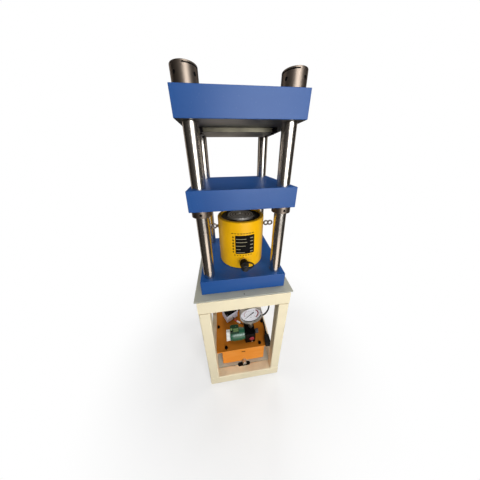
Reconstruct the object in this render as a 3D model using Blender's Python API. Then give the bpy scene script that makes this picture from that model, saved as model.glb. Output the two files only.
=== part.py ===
"""Four-column bench press on a welded stand, with a loose hydraulic jack and an electric pump.

Metres, +Z up. The origin is on the floor at the middle of the stand, and the front looks along -Y.
"""
import math

import bmesh
import bpy
from mathutils import Matrix, Vector

for old in list(bpy.data.objects):
    bpy.data.objects.remove(old, do_unlink=True)

# Clearance between pieces that rest on, fit in or pass through each other
GAP = 0.0003

# Stand of square steel tube
FRAME_W = 0.356
FRAME_D = 0.382
TUBE = 0.039
LEG_W = 0.043
TUBE_WALL = 0.003
TUBE_CORNER = 0.0045
RAIL_H = 0.060
APRON_H = 0.060
LEG_H = 0.4895
TOP_OVERHANG = 0.009
TOP_SET_IN = 0.002
TOP_T = 0.0055
SHELF_T = 0.005
SLOT_L = 0.068
SLOT_W = 0.018

# Three square press plates
PLATE = 0.320
PLATE_T = 0.062
PLATE_EDGE = 0.0012
COLUMN_PITCH = 0.2555
COLUMN_D = 0.040
COLUMN_FREE = 0.490
STUD_D = 0.030
STUD_DEPTH = 0.046
STUD_CHAMFER = 0.0015
PLATEN_REST = 0.2645
NUT_WALL = 0.015
NUT_H = 0.038
NUT_HOLE_RISE = 0.0195
NUT_CUT_DROP = 0.0045
NUT_CUT_T = 0.0018
COLLAR_WALL = 0.0098
COLLAR_H = 0.021
SPANNER_HOLE_D = 0.008
SPANNER_HOLE_DEPTH = 0.007
NUT_TURNS = {"front_left": -36.0, "front_right": -60.0, "back_left": 12.0, "back_right": 31.0}

# Tool plate under the crosshead
TOOL_W = 0.210
TOOL_D = 0.116
TOOL_T = 0.012
TOOL_CLAMP_W = 0.016

# Jack standing on the base plate
JACK_X = 0.009
JACK_Y = -0.014
JACK_H = 0.199
JACK_FLOOR = 0.028
JACK_RIM = 0.0138
JACK_CHAMFER = 0.003
RAM_D = 0.111
GLAND_W = 0.0234
GLAND_T = 0.012
GLAND_DROP = 0.005
RAM_FOOT = 0.002
SADDLE_INSET = 0.0035
SADDLE_T = 0.0075
SADDLE_PROUD = 0.0005
SADDLE_PIN_D = 0.030
SADDLE_PIN_L = 0.012
SADDLE_GROOVE = 0.0018

# Jack coupler and its dust cap
COUPLER_RISE = 0.039
COUPLER_SIDE = -0.003
COUPLER_SEAT = 0.0016
PORT_D = 0.016
PORT_DEPTH = 0.017
COUPLER_HEX = 0.024
COUPLER_HEX_L = 0.016
COUPLER_COLLAR_D = 0.033
COUPLER_COLLAR_L = 0.017
COUPLER_NOSE_D = 0.022
COUPLER_NOSE_L = 0.017
CAP_WALL = 0.003
CAP_END = 0.008
STRAP_W = 0.007
STRAP_T = 0.0028
STRAP_REACH = 0.031

# Lifting eyes on the jack's sides
EYE_RISE = 0.153
EYE_D = 0.024
EYE_ROD = 0.0065
EYE_SHANK_D = 0.009
EYE_SHANK_L = 0.012
EYE_NECK = 0.004

# Pump tank and lid
LID_W = 0.282
LID_D = 0.256
LID_T = 0.006
LID_SIDE = 0.029
LID_END = 0.0015
TANK_H = 0.1091
TANK_CORNER = 0.004
PUMP_Y = -0.0125
DRAIN_RISE = 0.0105
DRAIN_D = 0.020
DRAIN_L = 0.020
DRAIN_SHANK_D = 0.010
DRAIN_SHANK_L = 0.010

# Valve block, motor and its terminal box
VALVE_X = 0.0415
VALVE_W = 0.053
VALVE_D = 0.080
VALVE_H = 0.067
VALVE_SET_BACK = 0.0255
VALVE_EDGE = 0.002
MOTOR_D = 0.059
MOTOR_L = 0.079
MOTOR_LIFT = 0.002
MOTOR_SET_BACK = 0.033
MOTOR_BELL_L = 0.014
MOTOR_BELL_STEP = 0.002
COVER_D = 0.050
COVER_L = 0.020
COVER_LOBES = 6
COVER_LOBE_H = 0.005
TERMINAL_W = 0.047
TERMINAL_D = 0.040
TERMINAL_SHIFT = 0.006
TERMINAL_H = 0.0123
TERMINAL_SINK = 0.0112
TERMINAL_SIDE = 0.0005
TERMINAL_EDGE = 0.003

# Rocker switch in the valve block's front
SWITCH_X = 0.0485
SWITCH_RISE = 0.034
SWITCH_BORE_D = 0.026
SWITCH_BORE_DEPTH = 0.014
BEZEL_WALL = 0.0022
BEZEL_PROUD = 0.0016
ROCKER_CLEAR = 0.0011
ROCKER_PROUD = 0.0036
ROCKER_DEPTH = 0.005
ROCKER_TILT = math.radians(8.0)

# Release knob on the valve block's right side
KNOB_D = 0.022
KNOB_L = 0.016
KNOB_FLUTES = 10
KNOB_FLUTE_H = 0.0012
KNOB_SET_BACK = 0.027
KNOB_RISE = 0.046
KNOB_SHANK_D = 0.008
KNOB_SHANK_L = 0.012
KNOB_STAND_OFF = 0.004

# Pressure gauge
GAUGE_X = 0.0490
GAUGE_D = 0.118
GAUGE_DEPTH = 0.034
GAUGE_RISE = 0.044
GAUGE_SET_BACK = 0.027
GAUGE_RIM = 0.0035
GAUGE_POCKET = 0.012
GAUGE_WALL = 0.003
GAUGE_STEP = 0.0015
BEZEL_RING_W = 0.0012
BEZEL_RING_T = 0.0115
DIAL_T = 0.0012
STEM_D = 0.014
FITTING_HEX = 0.024
FITTING_H = 0.018
FITTING_PIN_D = 0.012
FITTING_PIN_L = 0.010
STEM_SOCKET = 0.008
POINTER_L = 0.041
POINTER_TAIL = 0.020
POINTER_W = 0.0030
POINTER_TAIL_W = 0.0065
POINTER_T = 0.0010
POINTER_HUB_D = 0.007
POINTER_PIN_D = 0.0030
POINTER_PIN_L = 0.005
POINTER_REST = math.radians(225.0)
POINTER_LIFT = 0.0008

# Control box of the pump
CONTROL_W = 0.075
CONTROL_D = 0.062
CONTROL_H = 0.056
CONTROL_CORNER_X = -0.077
CONTROL_CORNER_Y = 0.002
CONTROL_TURN = math.radians(27.0)
CONTROL_LID_T = 0.005
CONTROL_LID_LIP = 0.001
CONTROL_ROUND = 0.004
LEAD_PORT_RISE = 0.030
LEAD_PORT_IN = 0.014
LEAD_PORT_D = 0.015
LEAD_PORT_L = 0.010

# Power lead, its peg under the right-hand apron and the connector at its end
LEAD_D = 0.008
PEG_D = 0.008
PEG_L = 0.022
PEG_X = 0.1630
PEG_Y = -0.018
PEG_DROP = 0.0295
PEG_STRAP_W = 0.014
PEG_STRAP_T = 0.003
PLUG_W = 0.031
PLUG_L = 0.052
PLUG_T = 0.021
PLUG_X = 0.1325
PLUG_Y = -0.1220
PLUG_TURN = math.radians(-4.0)
PLUG_NECK_L = 0.018
PLUG_NECK_D = 0.014

# Facets round a full turn
FACETS_LARGE = 36
FACETS_MEDIUM = 20
FACETS_SMALL = 12

# Levels and places that follow from the sizes above
LEG_Z = RAIL_H + GAP
APRON_Z = LEG_Z + LEG_H + GAP
TOP_Z = APRON_Z + APRON_H + GAP
BASE_Z = TOP_Z + TOP_T + GAP
BASE_TOP = BASE_Z + PLATE_T
PLATEN_Z = BASE_TOP + PLATEN_REST
CROSSHEAD_Z = BASE_TOP + COLUMN_FREE
CROSSHEAD_TOP = CROSSHEAD_Z + PLATE_T
NUT_D = STUD_D + 2 * NUT_WALL
COLLAR_D = COLUMN_D + 2 * COLLAR_WALL
GLAND_D = RAM_D + 2 * GLAND_W
JACK_D = GLAND_D + 2 * JACK_RIM
JACK_Z = BASE_TOP + GAP
JACK_TOP = JACK_Z + JACK_H
SADDLE_Z = JACK_TOP + SADDLE_PROUD - SADDLE_T
SADDLE_D = RAM_D - 2 * SADDLE_INSET
TANK_W = LID_W - 2 * LID_SIDE
TANK_D = LID_D - 2 * LID_END
TANK_Z = RAIL_H + GAP
LID_Z = TANK_Z + TANK_H + GAP
LID_TOP = LID_Z + LID_T
LID_FRONT = PUMP_Y - LID_D / 2
VALVE_FRONT = LID_FRONT + VALVE_SET_BACK
VALVE_Z = LID_TOP + GAP
VALVE_TOP = VALVE_Z + VALVE_H
VALVE_LEFT = VALVE_X - VALVE_W / 2
VALVE_RIGHT = VALVE_X + VALVE_W / 2
MOTOR_Y = VALVE_FRONT + MOTOR_SET_BACK
MOTOR_Z = LID_TOP + MOTOR_LIFT + MOTOR_D / 2
GAUGE_Z = VALVE_TOP + GAUGE_RISE + GAUGE_D / 2
GAUGE_FRONT = VALVE_FRONT + GAUGE_SET_BACK
STEM_Y = GAUGE_FRONT + GAUGE_DEPTH / 2
CORNERS = {"front_left": (-1, -1), "front_right": (1, -1), "back_left": (-1, 1), "back_right": (1, 1)}


def material(name, colour, roughness, metallic=0.0):
    made = bpy.data.materials.new(name)
    made.use_nodes = True
    shader = made.node_tree.nodes["Principled BSDF"]
    shader.inputs["Base Color"].default_value = (*colour, 1.0)
    shader.inputs["Roughness"].default_value = roughness
    shader.inputs["Metallic"].default_value = metallic
    made.diffuse_color = (*colour, 1.0)
    return made


CREAM = material("cream_enamel", (0.86, 0.76, 0.50), 0.45)
GREY_PLATE = material("grey_plate", (0.24, 0.25, 0.22), 0.55)
BLUE = material("blue_enamel", (0.02, 0.12, 0.42), 0.40)
CHROME = material("ground_steel", (0.60, 0.59, 0.57), 0.20, 1.0)
STEEL = material("turned_steel", (0.32, 0.31, 0.29), 0.38, 1.0)
BLACK_STEEL = material("blackened_steel", (0.03, 0.03, 0.03), 0.45, 0.6)
YELLOW = material("yellow_enamel", (0.83, 0.45, 0.01), 0.32)
RUBBER = material("black_rubber", (0.015, 0.015, 0.015), 0.65)
ORANGE = material("orange_powder_coat", (0.72, 0.26, 0.03), 0.45)
GREEN = material("green_enamel", (0.01, 0.16, 0.09), 0.35)
WHITE_PLASTIC = material("white_plastic", (0.80, 0.80, 0.77), 0.45)
RED_PLASTIC = material("red_plastic", (0.55, 0.02, 0.05), 0.30)
GREY_PLASTIC = material("grey_plastic", (0.45, 0.46, 0.52), 0.45)
DIAL_WHITE = material("dial_white", (0.85, 0.85, 0.88), 0.50)


def place(name, bm, finish, location=(0, 0, 0), rotation=(0, 0, 0), parent=None, smooth=True):
    """Turns a bmesh into a named object, and shades what is round smooth."""
    bmesh.ops.recalc_face_normals(bm, faces=bm.faces)
    mesh = bpy.data.meshes.new(name)
    bm.to_mesh(mesh)
    bm.free()
    if smooth:
        mesh.shade_smooth()
        mesh.set_sharp_from_angle(angle=math.radians(35.0))
    made = bpy.data.objects.new(name, mesh)
    bpy.context.collection.objects.link(made)
    if finish:
        made.data.materials.append(finish)
    made.location = location
    made.rotation_euler = rotation
    if parent:
        made.parent = parent
    return made


def cutter(name, bm, location=(0, 0, 0), rotation=(0, 0, 0)):
    """A body that only shapes others, and is no part of the product."""
    made = place(name, bm, None, location, rotation, smooth=False)
    made.hide_render = True
    made.display_type = 'WIRE'
    return made


def combine(target, other, operation='DIFFERENCE'):
    change = target.modifiers.new(f"{operation.lower()}_{other.name}", 'BOOLEAN')
    change.operation = operation
    change.solver = 'EXACT'
    change.object = other


def round_edges(target, width, segments=1):
    change = target.modifiers.new("edges", 'BEVEL')
    change.width = width
    change.segments = segments
    change.limit_method = 'ANGLE'
    change.angle_limit = math.radians(40.0)


def axis_at(name, location):
    """An empty on a joint's axis, which carries what moves about it."""
    made = bpy.data.objects.new(name, None)
    bpy.context.collection.objects.link(made)
    made.location = location
    return made


def block(width, depth, height, centre=(0, 0, 0)):
    bm = bmesh.new()
    size = Matrix.Diagonal((width, depth, height, 1.0))
    bmesh.ops.create_cube(bm, size=1.0, matrix=Matrix.Translation(centre) @ size)
    return bm


def cylinder(diameter, low, high, facets, centre=(0, 0), into=None):
    """A round bar along Z between two levels, added to another bmesh when one is given."""
    bm = into or bmesh.new()
    middle = Matrix.Translation((centre[0], centre[1], (low + high) / 2))
    bmesh.ops.create_cone(bm, cap_ends=True, segments=facets, radius1=diameter / 2,
                          radius2=diameter / 2, depth=high - low, matrix=middle)
    return bm


def turned(profile, facets, ring=False):
    """A solid turned about Z from (radius, height) points; a ring's profile closes on itself."""
    bm = bmesh.new()
    points = [bm.verts.new((radius, 0, height)) for radius, height in profile]
    pairs = list(zip(points, points[1:]))
    if ring:
        pairs.append((points[-1], points[0]))
    edges = [bm.edges.new(pair) for pair in pairs]
    bmesh.ops.spin(bm, geom=points + edges, cent=(0, 0, 0), axis=(0, 0, 1),
                   angle=math.tau, steps=facets, use_merge=True)
    bmesh.ops.remove_doubles(bm, verts=bm.verts, dist=0.00001)
    return bm


def extruded(outline, low, high):
    """A prism along Z over a flat outline."""
    bm = bmesh.new()
    face = bm.faces.new([bm.verts.new((x, y, low)) for x, y in outline])
    grown = bmesh.ops.extrude_face_region(bm, geom=[face])
    top = [item for item in grown["geom"] if isinstance(item, bmesh.types.BMVert)]
    bmesh.ops.translate(bm, verts=top, vec=(0, 0, high - low))
    return bm


def hexagon(across_flats):
    radius = across_flats / math.sqrt(3)
    return [(radius * math.cos(math.tau * side / 6), radius * math.sin(math.tau * side / 6))
            for side in range(6)]


def lobed(diameter, lobe_height, lobes, facets_each=5):
    """An outline whose radius swells into round lobes."""
    total = lobes * facets_each
    points = []
    for step in range(total):
        angle = math.tau * step / total
        radius = diameter / 2 - lobe_height * (0.5 - 0.5 * math.cos(lobes * angle))
        points.append((radius * math.cos(angle), radius * math.sin(angle)))
    return points


def rounded_outline(width, height, radius, segments=2):
    """A rectangle from (0, 0) to (width, height) with round corners."""
    points = []
    centres = ((width - radius, radius, -90), (width - radius, height - radius, 0),
               (radius, height - radius, 90), (radius, radius, 180))
    for centre_x, centre_y, start in centres:
        for step in range(segments + 1):
            angle = math.radians(start + 90 * step / segments)
            points.append((centre_x + radius * math.cos(angle), centre_y + radius * math.sin(angle)))
    return points


def tube(width, height, start, end):
    """A hollow square tube, whose two ends are given by functions of a point of its outline."""
    outer = rounded_outline(width, height, TUBE_CORNER)
    inner_corner = max(TUBE_CORNER - TUBE_WALL, 0.0008)
    inner = [(u + TUBE_WALL, v + TUBE_WALL) for u, v in
             rounded_outline(width - 2 * TUBE_WALL, height - 2 * TUBE_WALL, inner_corner)]
    bm = bmesh.new()
    outer_start = [bm.verts.new(start(u, v)) for u, v in outer]
    inner_start = [bm.verts.new(start(u, v)) for u, v in inner]
    outer_end = [bm.verts.new(end(u, v)) for u, v in outer]
    inner_end = [bm.verts.new(end(u, v)) for u, v in inner]
    walls = ((outer_start, outer_end), (inner_end, inner_start),
             (inner_start, outer_start), (outer_end, inner_end))
    for near, far in walls:
        for index in range(len(near)):
            following = (index + 1) % len(near)
            bm.faces.new((near[index], near[following], far[following], far[index]))
    return bm


def mitred_tube(length, height):
    """A tube along X with its outer face at y = 0 and both ends cut at 45 degrees."""
    reach = length / 2 - GAP / 2

    def left_end(u, v):
        return (-reach + u, u, v)

    def right_end(u, v):
        return (reach - u, u, v)

    return tube(TUBE, height, left_end, right_end)


def obround(length, width, low, high):
    """A slot-shaped prism along X."""
    half = (length - width) / 2
    outline = []
    for side, start in ((1, -90), (-1, 90)):
        for step in range(9):
            angle = math.radians(start + 180 * step / 8)
            outline.append((side * half + width / 2 * math.cos(angle), width / 2 * math.sin(angle)))
    return extruded(outline, low, high)


def build_stand():
    sides = {"front": (0, -FRAME_D / 2, FRAME_W, 0), "right": (FRAME_W / 2, 0, FRAME_D, 90),
             "back": (0, FRAME_D / 2, FRAME_W, 180), "left": (-FRAME_W / 2, 0, FRAME_D, 270)}
    made = {}
    for part, height, level in (("rail", RAIL_H, 0.0), ("apron", APRON_H, APRON_Z)):
        for side, (x, y, length, turn) in sides.items():
            name = f"stand_{part}_{side}"
            made[name] = place(name, mitred_tube(length, height), CREAM, (x, y, level),
                               (0, 0, math.radians(turn)))
    for corner, (side_x, side_y) in CORNERS.items():
        x = side_x * (FRAME_W - LEG_W) / 2 - LEG_W / 2
        y = side_y * (FRAME_D - TUBE) / 2 - TUBE / 2
        leg = tube(LEG_W, TUBE, lambda u, v: (u, v, 0), lambda u, v: (u, v, LEG_H))
        place(f"stand_leg_{corner}", leg, CREAM, (x, y, LEG_Z))
    top = place("stand_top_plate",
                block(FRAME_W + 2 * TOP_OVERHANG, FRAME_D - 2 * TOP_SET_IN, TOP_T,
                      (0, 0, TOP_T / 2)),
                GREY_PLATE, (0, 0, TOP_Z))
    round_edges(top, 0.0006)
    shelf_w = FRAME_W - 2 * TUBE - 2 * GAP
    shelf_d = FRAME_D - 2 * TUBE - 2 * GAP
    shelf = place("stand_shelf", block(shelf_w, shelf_d, SHELF_T), GREY_PLATE,
                  (0, 0, RAIL_H - SHELF_T / 2))
    seam = -FRAME_D / 2 + TUBE
    slot = cutter("slot_cutter", obround(SLOT_L, SLOT_W, -2 * SHELF_T, SHELF_T),
                  (0, seam, RAIL_H))
    combine(shelf, slot)
    combine(made["stand_rail_front"], slot)


def column_places():
    return {corner: (side_x * COLUMN_PITCH / 2, side_y * COLUMN_PITCH / 2)
            for corner, (side_x, side_y) in CORNERS.items()}


def column_bores(name, diameter, low, high):
    """One cutter with a round bar at each column."""
    bm = bmesh.new()
    for x, y in column_places().values():
        cylinder(diameter, low, high, FACETS_MEDIUM, (x, y), into=bm)
    return cutter(name, bm)


def press_plate(name, level, parent=None):
    origin = parent.location if parent else Vector((0, 0, 0))
    made = place(name, block(PLATE, PLATE, PLATE_T), BLUE,
                 Vector((0, 0, level + PLATE_T / 2)) - origin, parent=parent)
    round_edges(made, PLATE_EDGE)
    return made


def spanner_holes(across, height, turn):
    """Four radial bars that drill a round nut or collar from outside."""
    bm = bmesh.new()
    for quarter in range(4):
        angle = math.radians(turn + 90 * quarter)
        middle = across / 2 - SPANNER_HOLE_DEPTH / 2 + GAP
        lay = Matrix.Rotation(angle, 4, 'Z') @ Matrix.Translation((middle, 0, height))
        bmesh.ops.create_cone(bm, cap_ends=True, segments=6, radius1=SPANNER_HOLE_D / 2,
                              radius2=SPANNER_HOLE_D / 2, depth=SPANNER_HOLE_DEPTH + 2 * GAP,
                              matrix=lay @ Matrix.Rotation(math.pi / 2, 4, 'Y'))
    return bm


def ring_profile(bore, outside, height, chamfer):
    return [(bore / 2, 0), (outside / 2 - chamfer, 0), (outside / 2, chamfer),
            (outside / 2, height - chamfer), (outside / 2 - chamfer, height), (bore / 2, height)]


def build_columns():
    stud_low = -STUD_DEPTH
    shoulder_top = COLUMN_FREE - GAP
    stud_top = COLUMN_FREE + PLATE_T + GAP + NUT_H - STUD_CHAMFER
    profile = [(0, stud_low), (STUD_D / 2 - STUD_CHAMFER, stud_low),
               (STUD_D / 2, stud_low + STUD_CHAMFER), (STUD_D / 2, GAP), (COLUMN_D / 2, GAP),
               (COLUMN_D / 2, shoulder_top), (STUD_D / 2, shoulder_top),
               (STUD_D / 2, stud_top - STUD_CHAMFER), (STUD_D / 2 - STUD_CHAMFER, stud_top),
               (0, stud_top)]
    for corner, (x, y) in column_places().items():
        place(f"column_{corner}", turned(profile, FACETS_MEDIUM), CHROME, (x, y, BASE_TOP))
        side_x = CORNERS[corner][0]
        nut = place(f"column_nut_{corner}",
                    turned(ring_profile(STUD_D + 2 * GAP, NUT_D, NUT_H, 0.0008), FACETS_MEDIUM, True),
                    STEEL, (x, y, CROSSHEAD_TOP + GAP))
        holes = cutter(f"cut_nut_holes_{corner}",
                       spanner_holes(NUT_D, NUT_HOLE_RISE, NUT_TURNS[corner]),
                       (x, y, CROSSHEAD_TOP + GAP))
        combine(nut, holes)
        saw = cutter(f"cut_nut_saw_{corner}",
                     block(NUT_D, 2 * NUT_D, NUT_CUT_T, (-side_x * NUT_D / 2, 0, 0)),
                     (x, y, CROSSHEAD_TOP + GAP + NUT_H - NUT_CUT_DROP))
        combine(nut, saw)
        collar_z = PLATEN_Z - GAP - COLLAR_H
        collar = place(f"stop_collar_{corner}",
                       turned(ring_profile(COLUMN_D + 2 * GAP, COLLAR_D, COLLAR_H, 0.0008),
                              FACETS_MEDIUM, True), STEEL, (x, y, collar_z))
        drills = cutter(f"cut_collar_holes_{corner}",
                        spanner_holes(COLLAR_D, COLLAR_H / 2, -90), (x, y, collar_z))
        combine(collar, drills)


def build_press():
    base = press_plate("base_plate", BASE_Z)
    combine(base, column_bores("cut_base_bores", STUD_D + 2 * GAP,
                               BASE_TOP - STUD_DEPTH - GAP, BASE_TOP + PLATE_T))
    crosshead = press_plate("crosshead", CROSSHEAD_Z)
    combine(crosshead, column_bores("cut_crosshead_bores", STUD_D + 2 * GAP,
                                    CROSSHEAD_Z - PLATE_T, CROSSHEAD_TOP + PLATE_T))
    slide = axis_at("platen_slide", (0, 0, PLATEN_Z + PLATE_T / 2))
    platen = press_plate("moving_platen", PLATEN_Z, slide)
    combine(platen, column_bores("cut_platen_bores", COLUMN_D + 2 * GAP,
                                 PLATEN_Z - PLATE_T, PLATEN_Z + 2 * PLATE_T))
    build_columns()
    tool_z = CROSSHEAD_Z - GAP - TOOL_T / 2
    tool = place("tool_plate", block(TOOL_W, TOOL_D, TOOL_T), STEEL, (0, 0, tool_z))
    round_edges(tool, 0.0008)
    for side_name, side in (("left", -1), ("right", 1)):
        x = side * (TOOL_W / 2 + GAP + TOOL_CLAMP_W / 2)
        clamp = place(f"tool_clamp_{side_name}", block(TOOL_CLAMP_W, TOOL_D, TOOL_T), BLACK_STEEL,
                      (x, 0, tool_z))
        round_edges(clamp, 0.0012)


def build_jack():
    centre = Vector((JACK_X, JACK_Y, JACK_Z))
    outer = JACK_D / 2
    gland_seat = JACK_H - GLAND_DROP - GLAND_T - GAP
    bore = RAM_D / 2 + GAP
    body = turned([(0, 0), (outer - 0.003, 0), (outer, 0.003), (outer, JACK_H - JACK_CHAMFER),
                   (outer - JACK_CHAMFER, JACK_H), (GLAND_D / 2 + GAP, JACK_H),
                   (GLAND_D / 2 + GAP, gland_seat), (bore, gland_seat), (bore, JACK_FLOOR),
                   (0, JACK_FLOOR)], FACETS_LARGE)
    jack = place("jack_body", body, YELLOW, centre)
    facing = bmesh.new()
    spot = COUPLER_HEX / math.sqrt(3) + 4 * GAP
    port_z = outer - COUPLER_SEAT
    cylinder(2 * spot, port_z, outer + COUPLER_SEAT, FACETS_SMALL, into=facing)
    port_at = centre + Vector((COUPLER_SIDE, 0, COUPLER_RISE))
    combine(jack, cutter("cut_port_face", facing, port_at, (math.pi / 2, 0, 0)))
    drill = cylinder(PORT_D, port_z - PORT_DEPTH, outer, FACETS_SMALL)
    combine(jack, cutter("cut_port", drill, port_at, (math.pi / 2, 0, 0)))
    gland = turned([(bore, 0), (GLAND_D / 2, 0), (GLAND_D / 2, GLAND_T - 0.001),
                    (GLAND_D / 2 - 0.001, GLAND_T), (bore + 0.003, GLAND_T),
                    (bore, GLAND_T - 0.003)], FACETS_LARGE, True)
    ring = place("jack_gland_ring", gland, BLACK_STEEL, centre + Vector((0, 0, gland_seat + GAP)))
    holes = bmesh.new()
    for step in range(4):
        angle = math.radians(45 + 90 * step)
        reach = bore + GLAND_W * 0.62
        cylinder(0.007, GLAND_T - 0.006, GLAND_T + 0.002, 8,
                 (reach * math.cos(angle), reach * math.sin(angle)), into=holes)
    combine(ring, cutter("cut_gland_holes", holes, centre + Vector((0, 0, gland_seat + GAP))))
    build_ram(centre)
    build_coupler(centre)
    for side_name, side in (("left", -1), ("right", 1)):
        build_lifting_eye(side_name, side, jack)


def build_ram(centre):
    slide = axis_at("ram_slide", (JACK_X, JACK_Y, JACK_Z))
    foot = JACK_FLOOR + RAM_FOOT
    ram_top = SADDLE_Z - GAP - JACK_Z
    socket = SADDLE_PIN_D / 2 + GAP
    ram = turned([(0, foot), (RAM_D / 2 - 0.002, foot), (RAM_D / 2, foot + 0.002),
                  (RAM_D / 2, ram_top - 0.0012), (RAM_D / 2 - 0.0012, ram_top), (socket, ram_top),
                  (socket, ram_top - SADDLE_PIN_L - GAP), (0, ram_top - SADDLE_PIN_L - GAP)],
                 FACETS_LARGE)
    place("jack_ram", ram, CHROME, parent=slide)
    radius = SADDLE_D / 2
    profile = [(0, -SADDLE_PIN_L), (SADDLE_PIN_D / 2, -SADDLE_PIN_L), (SADDLE_PIN_D / 2, 0),
               (radius, 0), (radius, SADDLE_T - 0.002), (radius - 0.002, SADDLE_T)]
    for share in (0.82, 0.62, 0.42):
        middle = radius * share
        profile += [(middle + SADDLE_GROOVE, SADDLE_T), (middle, SADDLE_T - SADDLE_GROOVE),
                    (middle - SADDLE_GROOVE, SADDLE_T)]
    profile += [(0.010, SADDLE_T), (0.0085, SADDLE_T - 0.003), (0, SADDLE_T - 0.004)]
    place("jack_saddle", turned(profile, FACETS_LARGE), STEEL, (0, 0, SADDLE_Z - JACK_Z), parent=slide)


def build_coupler(centre):
    """The coupler points out of the jack's front; its own Z runs outward from its seat."""
    seat = Vector((COUPLER_SIDE, -(JACK_D / 2 - COUPLER_SEAT + GAP), COUPLER_RISE))
    turn = (math.pi / 2, 0, 0)
    nipple = PORT_D / 2 - GAP
    collar_end = COUPLER_HEX_L + COUPLER_COLLAR_L
    nose_end = collar_end + COUPLER_NOSE_L
    waist = COUPLER_HEX / 2 - 0.002
    shank = turned([(0, GAP - PORT_DEPTH), (nipple, GAP - PORT_DEPTH), (nipple, 0.001),
                    (waist, 0.001), (waist, COUPLER_HEX_L), (COUPLER_COLLAR_D / 2 - 0.0015, COUPLER_HEX_L),
                    (COUPLER_COLLAR_D / 2, COUPLER_HEX_L + 0.0015),
                    (COUPLER_COLLAR_D / 2, collar_end - 0.0015),
                    (COUPLER_COLLAR_D / 2 - 0.0015, collar_end), (COUPLER_NOSE_D / 2, collar_end),
                    (COUPLER_NOSE_D / 2, nose_end), (0, nose_end)], FACETS_MEDIUM)
    coupler = place("jack_coupler", shank, BLACK_STEEL, centre + seat, turn)
    nut = cutter("union_coupler_hex", extruded(hexagon(COUPLER_HEX), 0, COUPLER_HEX_L * 0.55),
                 centre + seat, turn)
    combine(coupler, nut, 'UNION')
    inner = COUPLER_NOSE_D / 2 + GAP
    outer = inner + CAP_WALL
    cap_start = collar_end + GAP
    cap_end = nose_end + GAP + CAP_END
    cap = turned([(0, nose_end + GAP), (inner, nose_end + GAP), (inner, cap_start),
                  (outer, cap_start), (outer, nose_end), (outer - 0.003, nose_end + 0.003),
                  (outer - 0.005, nose_end + 0.0035), (outer - 0.005, cap_end - 0.0015),
                  (outer - 0.0065, cap_end), (0, cap_end)], FACETS_MEDIUM)
    dust_cap = place("jack_dust_cap", cap, RUBBER, centre + seat, turn)
    eye_in = waist + GAP
    eye_z = COUPLER_HEX_L * 0.55 + GAP
    eye_t = COUPLER_HEX_L * 0.45 - 2 * GAP
    eye = turned([(eye_in, eye_z), (eye_in + CAP_WALL, eye_z), (eye_in + CAP_WALL, eye_z + eye_t),
                  (eye_in, eye_z + eye_t)], FACETS_MEDIUM, True)
    near = Vector((eye_in + CAP_WALL * 0.6, 0, eye_z + eye_t / 2))
    far = Vector((outer - 0.0065, 0, cap_end - CAP_END * 0.45))
    band = strap_band(near, far, STRAP_REACH - outer / 2)
    combine(dust_cap, cutter("union_cap_band", band, centre + seat, turn), 'UNION')
    combine(dust_cap, cutter("union_cap_eye", eye, centre + seat, turn), 'UNION')


def strap_band(near, far, reach):
    """The band of the cap's strap, which bows out between the coupler's waist and the cap."""
    bm = bmesh.new()
    steps = 8
    rings = []
    for step in range(steps + 1):
        share = step / steps
        bow = math.sin(math.pi * share)
        middle = near.lerp(far, share) + Vector((reach, 0, 0)) * bow
        slope = (far - near).normalized() + Vector((1, 0, 0)) * math.cos(math.pi * share) * 1.6
        across = Vector((0, 1, 0))
        out = slope.normalized().cross(across)
        corners = ((-1, -1), (1, -1), (1, 1), (-1, 1))
        rings.append([bm.verts.new(middle + across * STRAP_W / 2 * a + out * STRAP_T / 2 * b)
                      for a, b in corners])
    for first, second in zip(rings, rings[1:]):
        for index in range(4):
            following = (index + 1) % 4
            bm.faces.new((first[index], first[following], second[following], second[index]))
    bm.faces.new(rings[0][::-1])
    bm.faces.new(rings[-1])
    return bm


def torus(major, minor, centre, around=16, section=6):
    """A ring lying in the XZ plane."""
    bm = bmesh.new()
    loop = [bm.verts.new((major + minor * math.cos(math.tau * s / section), 0,
                          minor * math.sin(math.tau * s / section))) for s in range(section)]
    edges = [bm.edges.new((loop[s], loop[(s + 1) % section])) for s in range(section)]
    bmesh.ops.spin(bm, geom=loop + edges, cent=(0, 0, 0), axis=(0, 0, 1), angle=math.tau,
                   steps=around, use_merge=True)
    bmesh.ops.rotate(bm, cent=(0, 0, 0), matrix=Matrix.Rotation(math.pi / 2, 3, 'X'), verts=bm.verts)
    bmesh.ops.translate(bm, verts=bm.verts, vec=centre)
    return bm


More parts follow.
